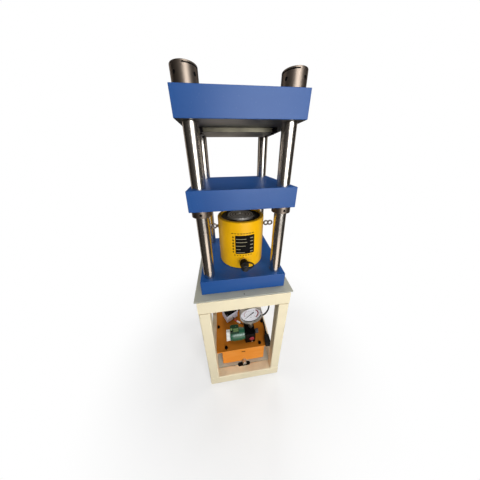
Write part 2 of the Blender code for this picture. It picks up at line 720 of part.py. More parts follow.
def build_lifting_eye(side_name, side, jack):
    """Two forged rings in line on a screwed shank, on the side of the jack."""
    origin = Vector((JACK_X, JACK_Y, JACK_Z + EYE_RISE))
    major = EYE_D / 2 - EYE_ROD / 2
    surface = JACK_D / 2
    first = surface + EYE_NECK + EYE_D / 2
    second = first + EYE_D - EYE_ROD
    eye = place(f"jack_lifting_eye_{side_name}", torus(major, EYE_ROD / 2, (side * first, 0, 0)),
                BLACK_STEEL, origin)
    outer = cutter(f"union_outer_ring_{side_name}", torus(major, EYE_ROD / 2, (side * second, 0, 0)),
                   origin)
    combine(eye, outer, 'UNION')
    level = side * math.pi / 2
    low = surface - EYE_SHANK_L
    collar = turned([(0, low), (EYE_SHANK_D / 2, low), (EYE_SHANK_D / 2, surface + GAP),
                     (EYE_SHANK_D / 2 + 0.003, surface + GAP),
                     (EYE_SHANK_D / 2 + 0.003, surface + EYE_NECK * 0.6),
                     (EYE_SHANK_D / 2 - 0.001, surface + EYE_NECK + EYE_ROD * 0.5),
                     (0, surface + EYE_NECK + EYE_ROD * 0.5)], FACETS_SMALL)
    shank = cutter(f"union_eye_shank_{side_name}", collar, origin, (0, level, 0))
    combine(eye, shank, 'UNION')
    drill = cylinder(EYE_SHANK_D + 2 * GAP, low - GAP, surface + EYE_SHANK_D, FACETS_SMALL)
    combine(jack, cutter(f"cut_eye_hole_{side_name}", drill, origin, (0, level, 0)))


def build_tank():
    tank = place("pump_tank", block(TANK_W, TANK_D, TANK_H, (0, 0, TANK_H / 2)), ORANGE,
                 (0, PUMP_Y, TANK_Z))
    round_edges(tank, TANK_CORNER, 2)
    lid = place("pump_lid", block(LID_W, LID_D, LID_T, (0, 0, LID_T / 2)), ORANGE, (0, PUMP_Y, LID_Z))
    round_edges(lid, 0.0012)
    front = PUMP_Y - TANK_D / 2
    drill = cylinder(DRAIN_SHANK_D + 2 * GAP, -DRAIN_SHANK_L - GAP, DRAIN_SHANK_L, FACETS_SMALL)
    combine(tank, cutter("cut_drain", drill, (0.003, front, TANK_Z + DRAIN_RISE), (math.pi / 2, 0, 0)))
    outline = turned([(0, -DRAIN_SHANK_L), (DRAIN_SHANK_D / 2, -DRAIN_SHANK_L),
                      (DRAIN_SHANK_D / 2, GAP), (DRAIN_D / 2, GAP), (DRAIN_D / 2, DRAIN_L - 0.0015),
                      (DRAIN_D / 2 - 0.0015, DRAIN_L), (0.0035, DRAIN_L), (0.0035, DRAIN_L - 0.003),
                      (0, DRAIN_L - 0.003)], FACETS_SMALL)
    place("pump_drain_plug", outline, STEEL, (0.003, front, TANK_Z + DRAIN_RISE), (math.pi / 2, 0, 0))


def build_valve_block():
    middle = VALVE_FRONT + VALVE_D / 2
    body = place("pump_valve_block", block(VALVE_W, VALVE_D, VALVE_H), BLACK_STEEL,
                 (VALVE_X, middle, VALVE_Z + VALVE_H / 2))
    round_edges(body, VALVE_EDGE)
    switch = Vector((SWITCH_X, VALVE_FRONT, VALVE_Z + SWITCH_RISE))
    forward = (math.pi / 2, 0, 0)
    rim = SWITCH_BORE_D / 2 + BEZEL_WALL
    bezel = turned([(0, -0.004), (rim, -0.004), (rim, BEZEL_PROUD - 0.0008),
                    (rim - 0.0008, BEZEL_PROUD), (0, BEZEL_PROUD)], FACETS_MEDIUM)
    combine(body, cutter("union_bezel", bezel, switch, forward), 'UNION')
    bore = cylinder(SWITCH_BORE_D, -SWITCH_BORE_DEPTH, BEZEL_PROUD + 0.002, FACETS_MEDIUM)
    combine(body, cutter("cut_switch_bore", bore, switch, forward))
    stem = cylinder(FITTING_PIN_D + 2 * GAP, -FITTING_PIN_L - GAP, FITTING_PIN_L, FACETS_SMALL)
    combine(body, cutter("cut_gauge_port", stem, (GAUGE_X, STEM_Y, VALVE_TOP)))
    knob_at = Vector((VALVE_RIGHT, VALVE_FRONT + KNOB_SET_BACK, VALVE_Z + KNOB_RISE))
    drill = cylinder(KNOB_SHANK_D + 2 * GAP, -KNOB_SHANK_L - GAP, KNOB_SHANK_L, FACETS_SMALL)
    combine(body, cutter("cut_release_port", drill, knob_at, (0, math.pi / 2, 0)))
    build_switch(switch)
    build_knob(knob_at)


def build_switch(centre):
    """A round rocker with a shallow ridge across its face; it rests tipped to its off side."""
    pivot = axis_at("switch_pivot", centre)
    pivot.rotation_euler = (-ROCKER_TILT, 0, 0)
    radius = SWITCH_BORE_D / 2 - ROCKER_CLEAR
    bm = cylinder(2 * radius, -ROCKER_DEPTH, ROCKER_PROUD, FACETS_MEDIUM)
    slope = math.tan(ROCKER_TILT)
    for vert in bm.verts:
        if vert.co.z > 0:
            vert.co.z -= abs(vert.co.y) * slope
    top = [face for face in bm.faces if len(face.verts) > 4 and face.normal.z > 0.5]
    corners = sorted(top[0].verts, key=lambda vert: abs(vert.co.y))[:2]
    bmesh.ops.connect_verts(bm, verts=corners)
    place("switch_rocker", bm, RED_PLASTIC, rotation=(math.pi / 2, 0, 0), parent=pivot)


def build_knob(centre):
    axis = axis_at("knob_axis", centre)
    bm = extruded(lobed(KNOB_D, KNOB_FLUTE_H, KNOB_FLUTES, 4), KNOB_STAND_OFF, KNOB_STAND_OFF + KNOB_L)
    knob = place("release_knob", bm, GREY_PLASTIC, rotation=(0, math.pi / 2, 0), parent=axis)
    shank = turned([(0, -KNOB_SHANK_L), (KNOB_SHANK_D / 2, -KNOB_SHANK_L),
                    (KNOB_SHANK_D / 2, KNOB_STAND_OFF + 0.002), (0, KNOB_STAND_OFF + 0.002)], FACETS_SMALL)
    combine(knob, cutter("union_knob_shank", shank, centre, (0, math.pi / 2, 0)), 'UNION')


def build_motor():
    """The motor lies along X against the valve block's left side."""
    along = (0, -math.pi / 2, 0)
    seat = Vector((VALVE_LEFT - GAP, MOTOR_Y, MOTOR_Z))
    outer = MOTOR_D / 2
    bell = outer - MOTOR_BELL_STEP
    body = turned([(0, 0), (bell - 0.002, 0), (bell, 0.002), (bell, MOTOR_BELL_L),
                   (outer, MOTOR_BELL_L + 0.001), (outer, MOTOR_L - MOTOR_BELL_L),
                   (bell, MOTOR_L - MOTOR_BELL_L + 0.001), (bell, MOTOR_L - 0.004),
                   (bell - 0.004, MOTOR_L), (0, MOTOR_L)], FACETS_LARGE)
    place("pump_motor", body, GREEN, seat, along)
    cover = extruded(lobed(COVER_D, COVER_LOBE_H, COVER_LOBES), MOTOR_L + GAP, MOTOR_L + GAP + COVER_L)
    end = place("pump_motor_end_cover", cover, WHITE_PLASTIC, seat, along)
    round_edges(end, 0.0015)
    top = MOTOR_Z + outer + TERMINAL_H
    low = MOTOR_Z + outer - TERMINAL_SINK
    x = VALVE_LEFT - MOTOR_L + TERMINAL_SIDE + TERMINAL_W / 2
    box = place("pump_terminal_box", block(TERMINAL_W, TERMINAL_D, top - low), GREEN,
                (x, MOTOR_Y + TERMINAL_SHIFT, (top + low) / 2))
    round_edges(box, TERMINAL_EDGE)
    saddle = cylinder(MOTOR_D + 2 * GAP, -MOTOR_L, 2 * MOTOR_L, FACETS_LARGE)
    combine(box, cutter("cut_terminal_saddle", saddle, seat, along))


def build_gauge():
    centre = Vector((GAUGE_X, GAUGE_FRONT, GAUGE_Z))
    forward = (math.pi / 2, 0, 0)
    radius = GAUGE_D / 2
    pocket = radius - GAUGE_RIM
    dial_face = -GAUGE_POCKET
    dial_back = dial_face - DIAL_T - GAP
    case = turned([(0, -GAUGE_DEPTH), (radius - GAUGE_STEP - 0.003, -GAUGE_DEPTH),
                   (radius - GAUGE_STEP, -GAUGE_DEPTH + 0.003), (radius - GAUGE_STEP, -GAUGE_WALL * 2),
                   (radius, -GAUGE_WALL * 2), (radius, -0.001), (radius - 0.001, 0), (pocket, 0),
                   (pocket, dial_back), (POINTER_PIN_D / 2 + GAP, dial_back),
                   (POINTER_PIN_D / 2 + GAP, dial_back - POINTER_PIN_L),
                   (0, dial_back - POINTER_PIN_L)], FACETS_LARGE)
    housing = place("gauge_case", case, CHROME, centre, forward)
    fitting_top = VALVE_TOP + GAP + FITTING_H
    stem_low = fitting_top - STEM_SOCKET + GAP
    stem = cylinder(STEM_D, stem_low, GAUGE_Z - pocket - 2 * GAP, FACETS_SMALL)
    combine(housing, cutter("union_gauge_stem", stem, (GAUGE_X, STEM_Y, 0)), 'UNION')
    fitting = place("gauge_fitting", extruded(hexagon(FITTING_HEX), 0, FITTING_H), STEEL,
                    (GAUGE_X, STEM_Y, VALVE_TOP + GAP))
    round_edges(fitting, 0.0008)
    pin = cylinder(FITTING_PIN_D, -FITTING_PIN_L, 0.002, FACETS_SMALL)
    combine(fitting, cutter("union_fitting_pin", pin, (GAUGE_X, STEM_Y, VALVE_TOP + GAP)), 'UNION')
    socket = cylinder(STEM_D + 2 * GAP, FITTING_H - STEM_SOCKET, 2 * FITTING_H, FACETS_SMALL)
    combine(fitting, cutter("cut_stem_socket", socket, (GAUGE_X, STEM_Y, VALVE_TOP + GAP)))
    dial_radius = pocket - GAP
    dial = turned([(POINTER_PIN_D / 2 + GAP, 0), (dial_radius, 0), (dial_radius, DIAL_T),
                   (POINTER_PIN_D / 2 + GAP, DIAL_T)], FACETS_LARGE, True)
    place("gauge_dial", dial, DIAL_WHITE, centre + Vector((0, DIAL_T - dial_face, 0)), forward)
    ring_out = pocket - GAP
    ring_in = ring_out - BEZEL_RING_W
    ring = turned([(ring_in, -BEZEL_RING_T), (ring_out, -BEZEL_RING_T), (ring_out, 0.0012),
                   (ring_in + 0.0005, 0.0012), (ring_in, 0)], FACETS_LARGE, True)
    place("gauge_bezel", ring, BLACK_STEEL, centre, forward)
    build_pointer(centre, dial_face)


def build_pointer(centre, dial_face):
    """A needle and a heavier tail on a pinned hub, which turns about the dial's middle."""
    axis = axis_at("pointer_axis", centre)
    low = dial_face + POINTER_LIFT
    half = POINTER_W / 2
    tail = POINTER_TAIL_W / 2
    hub = POINTER_HUB_D / 2
    outline = [(POINTER_L, -half * 0.25), (POINTER_L, half * 0.25), (hub, half)]
    outline += [(hub * math.cos(math.radians(a)), hub * math.sin(math.radians(a)))
                for a in range(40, 150, 20)]
    outline += [(-hub - 0.001, half), (-POINTER_TAIL * 0.6, tail), (-POINTER_TAIL, tail * 0.75),
                (-POINTER_TAIL, -tail * 0.75), (-POINTER_TAIL * 0.6, -tail), (-hub - 0.001, -half)]
    outline += [(hub * math.cos(math.radians(a)), hub * math.sin(math.radians(a)))
                for a in range(220, 330, 20)]
    outline += [(hub, -half)]
    needle = extruded(outline, low, low + POINTER_T)
    bmesh.ops.rotate(needle, cent=(0, 0, 0), matrix=Matrix.Rotation(POINTER_REST, 3, 'Z'),
                     verts=needle.verts)
    pointer = place("gauge_pointer", needle, BLACK_STEEL, rotation=(math.pi / 2, 0, 0), parent=axis)
    pin_low = dial_face - DIAL_T - GAP - POINTER_PIN_L + 2 * GAP
    pin = turned([(0, pin_low), (POINTER_PIN_D / 2, pin_low), (POINTER_PIN_D / 2, low + POINTER_T * 2),
                  (0, low + POINTER_T * 2)], FACETS_SMALL)
    combine(pointer, cutter("union_pointer_pin", pin, centre, (math.pi / 2, 0, 0)), 'UNION')


def control_place(along, across, height):
    """A point of the control box: along its front, across from its front, and above the lid."""
    turn = Matrix.Rotation(CONTROL_TURN, 3, 'Z')
    corner = Vector((CONTROL_CORNER_X, CONTROL_CORNER_Y, LID_TOP + GAP))
    return corner + turn @ Vector((along, across, height))


def build_control_box():
    turn = (0, 0, CONTROL_TURN)
    body = place("control_box", block(CONTROL_W, CONTROL_D, CONTROL_H), GREY_PLASTIC,
                 control_place(CONTROL_W / 2, CONTROL_D / 2, CONTROL_H / 2), turn)
    round_edges(body, CONTROL_ROUND, 2)
    lid = place("control_box_lid",
                block(CONTROL_W + 2 * CONTROL_LID_LIP, CONTROL_D + 2 * CONTROL_LID_LIP, CONTROL_LID_T),
                RUBBER, control_place(CONTROL_W / 2, CONTROL_D / 2,
                                      CONTROL_H + GAP + CONTROL_LID_T / 2), turn)
    round_edges(lid, 0.0015)
    boss = turned([(0, -0.004), (LEAD_PORT_D / 2, -0.004), (LEAD_PORT_D / 2, LEAD_PORT_L * 0.45),
                   (LEAD_D / 2 + 0.0012, LEAD_PORT_L), (0, LEAD_PORT_L)], FACETS_SMALL)
    port = control_place(CONTROL_W, LEAD_PORT_IN, LEAD_PORT_RISE)
    level = Matrix.Rotation(CONTROL_TURN, 4, 'Z') @ Matrix.Rotation(math.pi / 2, 4, 'Y')
    combine(body, cutter("union_lead_port", boss, port, level.to_euler()), 'UNION')


def smooth_route(points, spacing):
    """Points at an even spacing along one smooth curve through the given points."""
    dense = []
    count = len(points)
    for index in range(count - 1):
        before = points[max(index - 1, 0)]
        start, end = points[index], points[index + 1]
        after = points[min(index + 2, count - 1)]
        for step in range(40):
            t = step / 40
            dense.append(0.5 * ((2 * start) + (end - before) * t
                                + (2 * before - 5 * start + 4 * end - after) * t * t
                                + (3 * start - before - 3 * end + after) * t ** 3))
    dense.append(points[-1])
    total = sum((b - a).length for a, b in zip(dense, dense[1:]))
    pieces = round(total / spacing)
    even = [dense[0]]
    walked = 0.0
    for a, b in zip(dense, dense[1:]):
        length = (b - a).length
        while len(even) < pieces and walked + length >= len(even) * total / pieces:
            even.append(a.lerp(b, (len(even) * total / pieces - walked) / length))
        walked += length
    even.append(dense[-1])
    return even


LEAD_ROUTE = [
    (0.0270, 0.0741, 0.1990), (0.0447, 0.0820, 0.1906), (0.0652, 0.0874, 0.1840),
    (0.0848, 0.0881, 0.1811), (0.1069, 0.0842, 0.1873), (0.1221, 0.0806, 0.2041),
    (0.1345, 0.0699, 0.2363), (0.1450, 0.0494, 0.2964), (0.1409, 0.0309, 0.3819),
    (0.1512, 0.0200, 0.4521), (0.1520, 0.0156, 0.4738), (0.1520, 0.0168, 0.4963),
    (0.1520, 0.0121, 0.5149), (0.1520, 0.0018, 0.5273), (0.1520, -0.0121, 0.5333),
    (0.1520, -0.0269, 0.5328), (0.1520, -0.0398, 0.5262), (0.1520, -0.0486, 0.5150),
    (0.1520, -0.0522, 0.5013), (0.1520, -0.0521, 0.4807), (0.1520, -0.0526, 0.4360),
    (0.1512, -0.0525, 0.3500), (0.1455, -0.0490, 0.3130), (0.1350, -0.0430, 0.2830),
    (0.1215, -0.0310, 0.2550), (0.1023, -0.0112, 0.2268), (0.0856, 0.0059, 0.2030),
    (0.0746, 0.0278, 0.1867), (0.0739, 0.0481, 0.1818), (0.0814, 0.0637, 0.1810),
    (0.0950, 0.0732, 0.1809), (0.1117, 0.0747, 0.1810), (0.1277, 0.0666, 0.1811),
    (0.1382, 0.0482, 0.1811), (0.1384, 0.0150, 0.1814), (0.1389, -0.0378, 0.1807)]


def build_lead():
    """The lead runs from the control box over the lid, up over the peg and down to its connector."""
    start = control_place(CONTROL_W + LEAD_PORT_L + 3 * GAP, LEAD_PORT_IN, LEAD_PORT_RISE)
    straight = control_place(CONTROL_W + LEAD_PORT_L + 2 * LEAD_D, LEAD_PORT_IN, LEAD_PORT_RISE)
    plug_turn = Matrix.Rotation(PLUG_TURN, 3, 'Z')
    plug_centre = Vector((PLUG_X, PLUG_Y, LID_TOP + GAP + PLUG_T / 2))
    entry = plug_centre + plug_turn @ Vector((0, PLUG_L / 2 + PLUG_NECK_L + GAP, 0))
    near_plug = plug_centre + plug_turn @ Vector((0, PLUG_L / 2 + PLUG_NECK_L + 2 * LEAD_D, 0))
    route = [start, straight] + [Vector(point) for point in LEAD_ROUTE] + [near_plug, entry]
    points = smooth_route(route, 2.7 * LEAD_D)
    curve = bpy.data.curves.new("power_lead", 'CURVE')
    curve.dimensions = '3D'
    curve.bevel_depth = LEAD_D / 2
    curve.bevel_resolution = 2
    curve.use_fill_caps = True
    spline = curve.splines.new('POLY')
    spline.points.add(len(points) - 1)
    for item, point in zip(spline.points, points):
        item.co = (*point, 1.0)
    curve.materials.append(RUBBER)
    lead = bpy.data.objects.new("power_lead", curve)
    bpy.context.collection.objects.link(lead)

    body = block(PLUG_W, PLUG_L, PLUG_T)
    for vert in body.verts:
        if vert.co.y > 0:
            vert.co.x *= 0.78
            vert.co.z = -PLUG_T / 2 + (vert.co.z + PLUG_T / 2) * 0.92
    plug = place("lead_connector", body, RUBBER, plug_centre, (0, 0, PLUG_TURN))
    round_edges(plug, 0.004, 2)
    neck = turned([(0, -0.006), (PLUG_NECK_D / 2, -0.006), (PLUG_NECK_D / 2, 0.001),
                   (LEAD_D / 2 + 0.0012, PLUG_NECK_L), (0, PLUG_NECK_L)], FACETS_SMALL)
    rear = plug_centre + plug_turn @ Vector((0, PLUG_L / 2, 0))
    back = Matrix.Rotation(PLUG_TURN, 4, 'Z') @ Matrix.Rotation(-math.pi / 2, 4, 'X')
    combine(plug, cutter("union_plug_neck", neck, rear, back.to_euler()), 'UNION')


def build_peg():
    """A bent strap under the right-hand apron, with the peg that the lead hangs over."""
    top = APRON_Z - GAP
    strap = place("lead_peg", block(PEG_STRAP_T, PEG_STRAP_W, PEG_DROP, (0, 0, -PEG_DROP / 2)),
                  BLACK_STEEL, (PEG_X, PEG_Y, top))
    peg = cylinder(PEG_D, 0, PEG_L, FACETS_SMALL)
    combine(strap, cutter("union_peg", peg, (PEG_X, PEG_Y, top - PEG_DROP + PEG_D / 2),
                          (0, -math.pi / 2, 0)), 'UNION')


build_stand()
build_press()
build_jack()
build_tank()
build_valve_block()
build_motor()
build_gauge()
build_control_box()
build_peg()
build_lead()
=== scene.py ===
"""Dresses the four-column press in paint, bare metal, rubber and fine detail, and lights it.

Metres, in the frame of the plain model: origin on the floor, +Z up, the front looks along -Y.
"""

import math

import bmesh
import bpy
from mathutils import Matrix, Vector


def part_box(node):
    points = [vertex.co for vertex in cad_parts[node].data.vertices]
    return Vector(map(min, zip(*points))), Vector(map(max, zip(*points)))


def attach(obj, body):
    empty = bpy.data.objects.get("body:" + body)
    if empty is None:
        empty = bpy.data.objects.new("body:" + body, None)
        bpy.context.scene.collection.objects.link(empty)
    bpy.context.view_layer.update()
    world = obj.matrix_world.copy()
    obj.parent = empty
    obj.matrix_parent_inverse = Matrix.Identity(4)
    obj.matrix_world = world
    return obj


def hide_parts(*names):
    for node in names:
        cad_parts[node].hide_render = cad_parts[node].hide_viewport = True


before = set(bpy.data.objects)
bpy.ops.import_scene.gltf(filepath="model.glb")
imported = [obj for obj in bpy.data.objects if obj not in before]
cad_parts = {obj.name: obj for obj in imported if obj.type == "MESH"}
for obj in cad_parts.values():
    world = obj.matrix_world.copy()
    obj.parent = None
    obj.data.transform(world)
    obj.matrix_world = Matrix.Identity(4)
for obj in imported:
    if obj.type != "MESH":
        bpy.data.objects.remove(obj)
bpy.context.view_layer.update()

GAP = 0.0003
FRONT_FACING = (math.pi / 2, 0, 0)


def added(name, data):
    """A new object in the scene that shows the data."""
    item = bpy.data.objects.new(name, data)
    bpy.context.scene.collection.objects.link(item)
    return item


# Camera, from the photograph's vanishing lines

CAMERA_EYE = Vector((-0.0655, -0.5724, 1.0840))
CAMERA_TURNS = ((-6.91, 'Z'), (-24.04, 'X'), (0.97, 'Y'))
CAMERA_LENS = 11.057
CAMERA_SENSOR = 36.0
CAMERA_SHIFT = (0.0021, -0.0333)


def make_camera():
    pan, tilt, roll = (Matrix.Rotation(math.radians(angle), 3, axis) for angle, axis in CAMERA_TURNS)
    right, up, back = (pan @ tilt @ roll @ Vector(axis) for axis in ((1, 0, 0), (0, 0, 1), (0, -1, 0)))
    lens = bpy.data.cameras.new("camera")
    lens.sensor_width = CAMERA_SENSOR
    lens.lens = CAMERA_LENS
    lens.shift_x, lens.shift_y = CAMERA_SHIFT
    camera = added("camera", lens)
    axes = Matrix((right, up, back)).transposed().to_4x4()
    camera.matrix_world = Matrix.Translation(CAMERA_EYE) @ axes
    bpy.context.scene.camera = camera


make_camera()


# Power lead, on the same line as in the plain model

LEAD_D = 0.008
CONTROL_SIZE = Vector((0.075, 0.062, 0.056))
CONTROL_CORNER = Vector((-0.077, 0.002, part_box("pump_lid")[1].z + GAP))
CONTROL_TURN = math.radians(27.0)
LEAD_PORT_IN = 0.014
LEAD_PORT_RISE = 0.030
LEAD_PORT_L = 0.010
PLUG_SIZE = Vector((0.031, 0.052, 0.021))
PLUG_CENTRE = Vector((0.1325, -0.1220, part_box("pump_lid")[1].z + GAP + PLUG_SIZE.z / 2))
PLUG_TURN = math.radians(-4.0)
PLUG_NECK_L = 0.018
LEAD_ROUTE = [
    (0.0270, 0.0741, 0.1990), (0.0447, 0.0820, 0.1906), (0.0652, 0.0874, 0.1840),
    (0.0848, 0.0881, 0.1811), (0.1069, 0.0842, 0.1873), (0.1221, 0.0806, 0.2041),
    (0.1345, 0.0699, 0.2363), (0.1450, 0.0494, 0.2964), (0.1409, 0.0309, 0.3819),
    (0.1512, 0.0200, 0.4521), (0.1520, 0.0156, 0.4738), (0.1520, 0.0168, 0.4963),
    (0.1520, 0.0121, 0.5149), (0.1520, 0.0018, 0.5273), (0.1520, -0.0121, 0.5333),
    (0.1520, -0.0269, 0.5328), (0.1520, -0.0398, 0.5262), (0.1520, -0.0486, 0.5150),
    (0.1520, -0.0522, 0.5013), (0.1520, -0.0521, 0.4807), (0.1520, -0.0526, 0.4360),
    (0.1512, -0.0525, 0.3500), (0.1455, -0.0490, 0.3130), (0.1350, -0.0430, 0.2830),
    (0.1215, -0.0310, 0.2550), (0.1023, -0.0112, 0.2268), (0.0856, 0.0059, 0.2030),
    (0.0746, 0.0278, 0.1867), (0.0739, 0.0481, 0.1818), (0.0814, 0.0637, 0.1810),
    (0.0950, 0.0732, 0.1809), (0.1117, 0.0747, 0.1810), (0.1277, 0.0666, 0.1811),
    (0.1382, 0.0482, 0.1811), (0.1384, 0.0150, 0.1814), (0.1389, -0.0378, 0.1807)]


def on_control_box(along, across, height):
    """A point of the control box: along its front, across from its front, and above the lid."""
    return CONTROL_CORNER + Matrix.Rotation(CONTROL_TURN, 3, 'Z') @ Vector((along, across, height))


def on_plug(along, across, height):
    return PLUG_CENTRE + Matrix.Rotation(PLUG_TURN, 3, 'Z') @ Vector((along, across, height))


def smooth_route(points, spacing):
    """Points at an even spacing along one smooth curve through the given points."""
    steps = 40
    dense = []
    for index in range(len(points) - 1):
        before = points[max(index - 1, 0)]
        start, end = points[index], points[index + 1]
        after = points[min(index + 2, len(points) - 1)]
        for step in range(steps):
            t = step / steps
            dense.append(0.5 * ((2 * start) + (end - before) * t
                                + (2 * before - 5 * start + 4 * end - after) * t * t
                                + (3 * start - before - 3 * end + after) * t ** 3))
    dense.append(points[-1])
    total = sum((b - a).length for a, b in zip(dense, dense[1:]))
    pieces = round(total / spacing)
    even = [dense[0]]
    walked = 0.0
    for a, b in zip(dense, dense[1:]):
        length = (b - a).length
        while len(even) < pieces and walked + length >= len(even) * total / pieces:
            even.append(a.lerp(b, (len(even) * total / pieces - walked) / length))
        walked += length
    even.append(dense[-1])
    return even


def curve_tube(name, points, diameter):
    curve = bpy.data.curves.new(name, 'CURVE')
    curve.dimensions = '3D'
    curve.bevel_depth = diameter / 2
    curve.bevel_resolution = 4
    curve.use_fill_caps = True
    line = curve.splines.new('POLY')
    line.points.add(len(points) - 1)
    for item, point in zip(line.points, points):
        item.co = (*point, 1.0)
    return added(name, curve)


def length_of(points):
    return sum((b - a).length for a, b in zip(points, points[1:]))


lead_ends = [on_control_box(CONTROL_SIZE.x + LEAD_PORT_L + reach, LEAD_PORT_IN, LEAD_PORT_RISE)
             for reach in (3 * GAP, 2 * LEAD_D)]
plug_ends = [on_plug(0, PLUG_SIZE.y / 2 + PLUG_NECK_L + reach, 0) for reach in (2 * LEAD_D, GAP)]
lead_points = smooth_route(lead_ends + [Vector(p) for p in LEAD_ROUTE] + plug_ends, 0.9 * LEAD_D)
power_lead = curve_tube("power_lead_sheath", lead_points, LEAD_D)


# Colours, shader maths and the finishes

def paint(red, green, blue):
    """A colour as a colour chart gives it, from 0 to 255, in linear light."""
    return tuple((value / 255 / 12.92) if value < 11 else ((value / 255 + 0.055) / 1.055) ** 2.4
                 for value in (red, green, blue))


def shaded(colour, share, lift=0.0):
    """The colour at a share of its strength, and lifted evenly."""
    return tuple(value * share + lift for value in colour)


class Signal:
    """One output in a node tree; sums, products and powers of it add Math nodes."""

    def __init__(self, nodes, socket):
        self.nodes = nodes
        self.socket = socket

    def math(self, operation, first, second):
        return self.nodes.node("ShaderNodeMath", {"operation": operation}, {0: first, 1: second})

    def __add__(self, other):
        return self.math('ADD', self, other)

    def __radd__(self, other):
        return self.math('ADD', other, self)

    def __sub__(self, other):
        return self.math('SUBTRACT', self, other)

    def __rsub__(self, other):
        return self.math('SUBTRACT', other, self)

    def __mul__(self, other):
        return self.math('MULTIPLY', self, other)

    def __rmul__(self, other):
        return self.math('MULTIPLY', other, self)

    def __pow__(self, other):
        return self.math('POWER', self, other)

    def larger(self, other):
        return self.math('MAXIMUM', self, other)

    def rising(self, low, high):
        """0 below low, 1 above high, and smooth between them."""
        return self.nodes.node("ShaderNodeMapRange", {"interpolation_type": 'SMOOTHSTEP'},
                               {"Value": self, "From Min": low, "From Max": high})


class Nodes:
    """The node tree of a finish or of the room, and the one way in which nodes are added to it."""

    def __init__(self, tree):
        self.tree = tree

    def feed(self, socket, value):
        if isinstance(value, Signal):
            self.tree.links.new(value.socket, socket)
        elif isinstance(value, tuple) and socket.type == 'RGBA':
            socket.default_value = (*value, 1.0)
        else:
            socket.default_value = value

    def node(self, kind, settings, inputs, output=0):
        made = self.tree.nodes.new(kind)
        for setting, value in settings.items():
            setattr(made, setting, value)
        for socket, value in inputs.items():
            self.feed(made.inputs[socket], value)
        return Signal(self, made.outputs[output])

    def lay_on(self, output, signal):
        """Makes the signal what the tree's output shows."""
        self.feed(self.tree.nodes[output].inputs["Surface"], signal)


class Finish(Nodes):
    """A material whose Principled shader takes fixed values here and varying ones from signals."""

    def __init__(self, name, slot, fixed):
        self.material = bpy.data.materials.new(name)
        self.material.use_nodes = True
        super().__init__(self.material.node_tree)
        self.shader = self.tree.nodes["Principled BSDF"]
        self.slot = slot
        for socket, value in fixed.items():
            self.feed(self.shader.inputs[socket], value)
        self.point = self.node("ShaderNodeTexCoord", {}, {}, "Object")

    def parts(self, vector):
        """The x, y and z signals of a vector."""
        return [self.node("ShaderNodeSeparateXYZ", {}, {0: vector}, axis) for axis in range(3)]

    def noise(self, scale, detail, stretch=(1, 1, 1)):
        spread = self.node("ShaderNodeVectorMath", {"operation": 'MULTIPLY'}, {0: self.point, 1: stretch})
        return self.node("ShaderNodeTexNoise", {},
                         {"Vector": spread, "Scale": scale, "Detail": detail, "Roughness": 0.55})

    def facing(self):
        """How the surface faces: the x, y and z of its direction."""
        return self.parts(self.node("ShaderNodeNewGeometry", {}, {}, "Normal"))

    def blend(self, share, first, second):
        return self.node("ShaderNodeMix", {"data_type": 'RGBA'}, {0: share, 6: first, 7: second}, 2)

    def bump(self, height, strength, distance):
        return self.node("ShaderNodeBump", {}, {"Strength": strength, "Distance": distance,
                                                "Height": height})

    def set(self, **signals):
        names = {"colour": "Base Color", "roughness": "Roughness", "metal": "Metallic",
                 "surface": "Normal", "alpha": "Alpha"}
        for name, value in signals.items():
            self.feed(self.shader.inputs[names[name]], value)
        return self


def enamel(name, slot, colour, dust_and_shade_colour, roughness, dust, coat=0.0, gloss=0.4):
    """Sprayed paint: faint orange peel, a top colour on what faces up, and a few dull scuffs. The top
    colour is dust on the cream and the grey, and painted shade on the yellow.
    """
    finish = Finish(name, slot, {"IOR": 1.5, "Coat Roughness": 0.12, "Specular IOR Level": gloss,
                                 "Coat Weight": coat})
    cloud = finish.noise(9.0, 4.0)
    grain = finish.noise(420.0, 2.0)
    scuff = finish.noise(38.0, 6.0, (1, 1, 0.35)).rising(0.62, 0.74)
    up = finish.facing()[2].rising(0.55, 0.95)
    # What faces up takes the top colour: dust on the cream and the grey, painted shade (dark olive) on the
    # yellow, a paler tone on the greens.
    top_dust_and_shade = up * (cloud.rising(0.30, 0.75) * 0.6 + 0.4) * dust
    shade = finish.blend(cloud.rising(0.25, 0.8) * 0.5, colour, shaded(colour, 0.88))
    shade = finish.blend(top_dust_and_shade, shade, dust_and_shade_colour)
    shade = finish.blend(scuff * 0.16, shade, dust_and_shade_colour)
    return finish.set(colour=shade, roughness=roughness + top_dust_and_shade * 0.25 + scuff * 0.12 + cloud * 0.06,
                      surface=finish.bump(grain, 0.25, 0.0002))


def turned_metal(name, slot, colour, roughness, lay=(1, 1, 60), smear=0.10, dark=0.55, oil=0.45,
                 tooling=0.12):
    """Bare metal with fine tool lines along one direction and a thin, uneven film of oil."""
    finish = Finish(name, slot, {"Metallic": 1.0})
    lines = finish.noise(24.0, 4.0, lay)
    film = finish.noise(14.0, 5.0, (1, 1, 0.6))
    shade = finish.blend(film.rising(0.35, 0.8) * oil, colour, shaded(colour, dark))
    finish.set(colour=shade, roughness=roughness + film * smear + lines * 0.06)
    return finish.set(surface=finish.bump(lines, tooling, 0.0002)) if tooling else finish


def moulded(name, slot, colour, roughness, grain=900.0, depth=0.3, gloss=0.4):
    """Moulded rubber or plastic with a fine mat grain and faint dust."""
    finish = Finish(name, slot, {"IOR": 1.48, "Specular IOR Level": gloss})
    speckle = finish.noise(grain, 2.0)
    cloud = finish.noise(22.0, 4.0)
    shade = finish.blend(cloud.rising(0.35, 0.8) * 0.5, colour, shaded(colour, 0.9, 0.004))
    return finish.set(colour=shade, roughness=roughness + cloud * 0.12,
                      surface=finish.bump(speckle, depth, 0.00015))


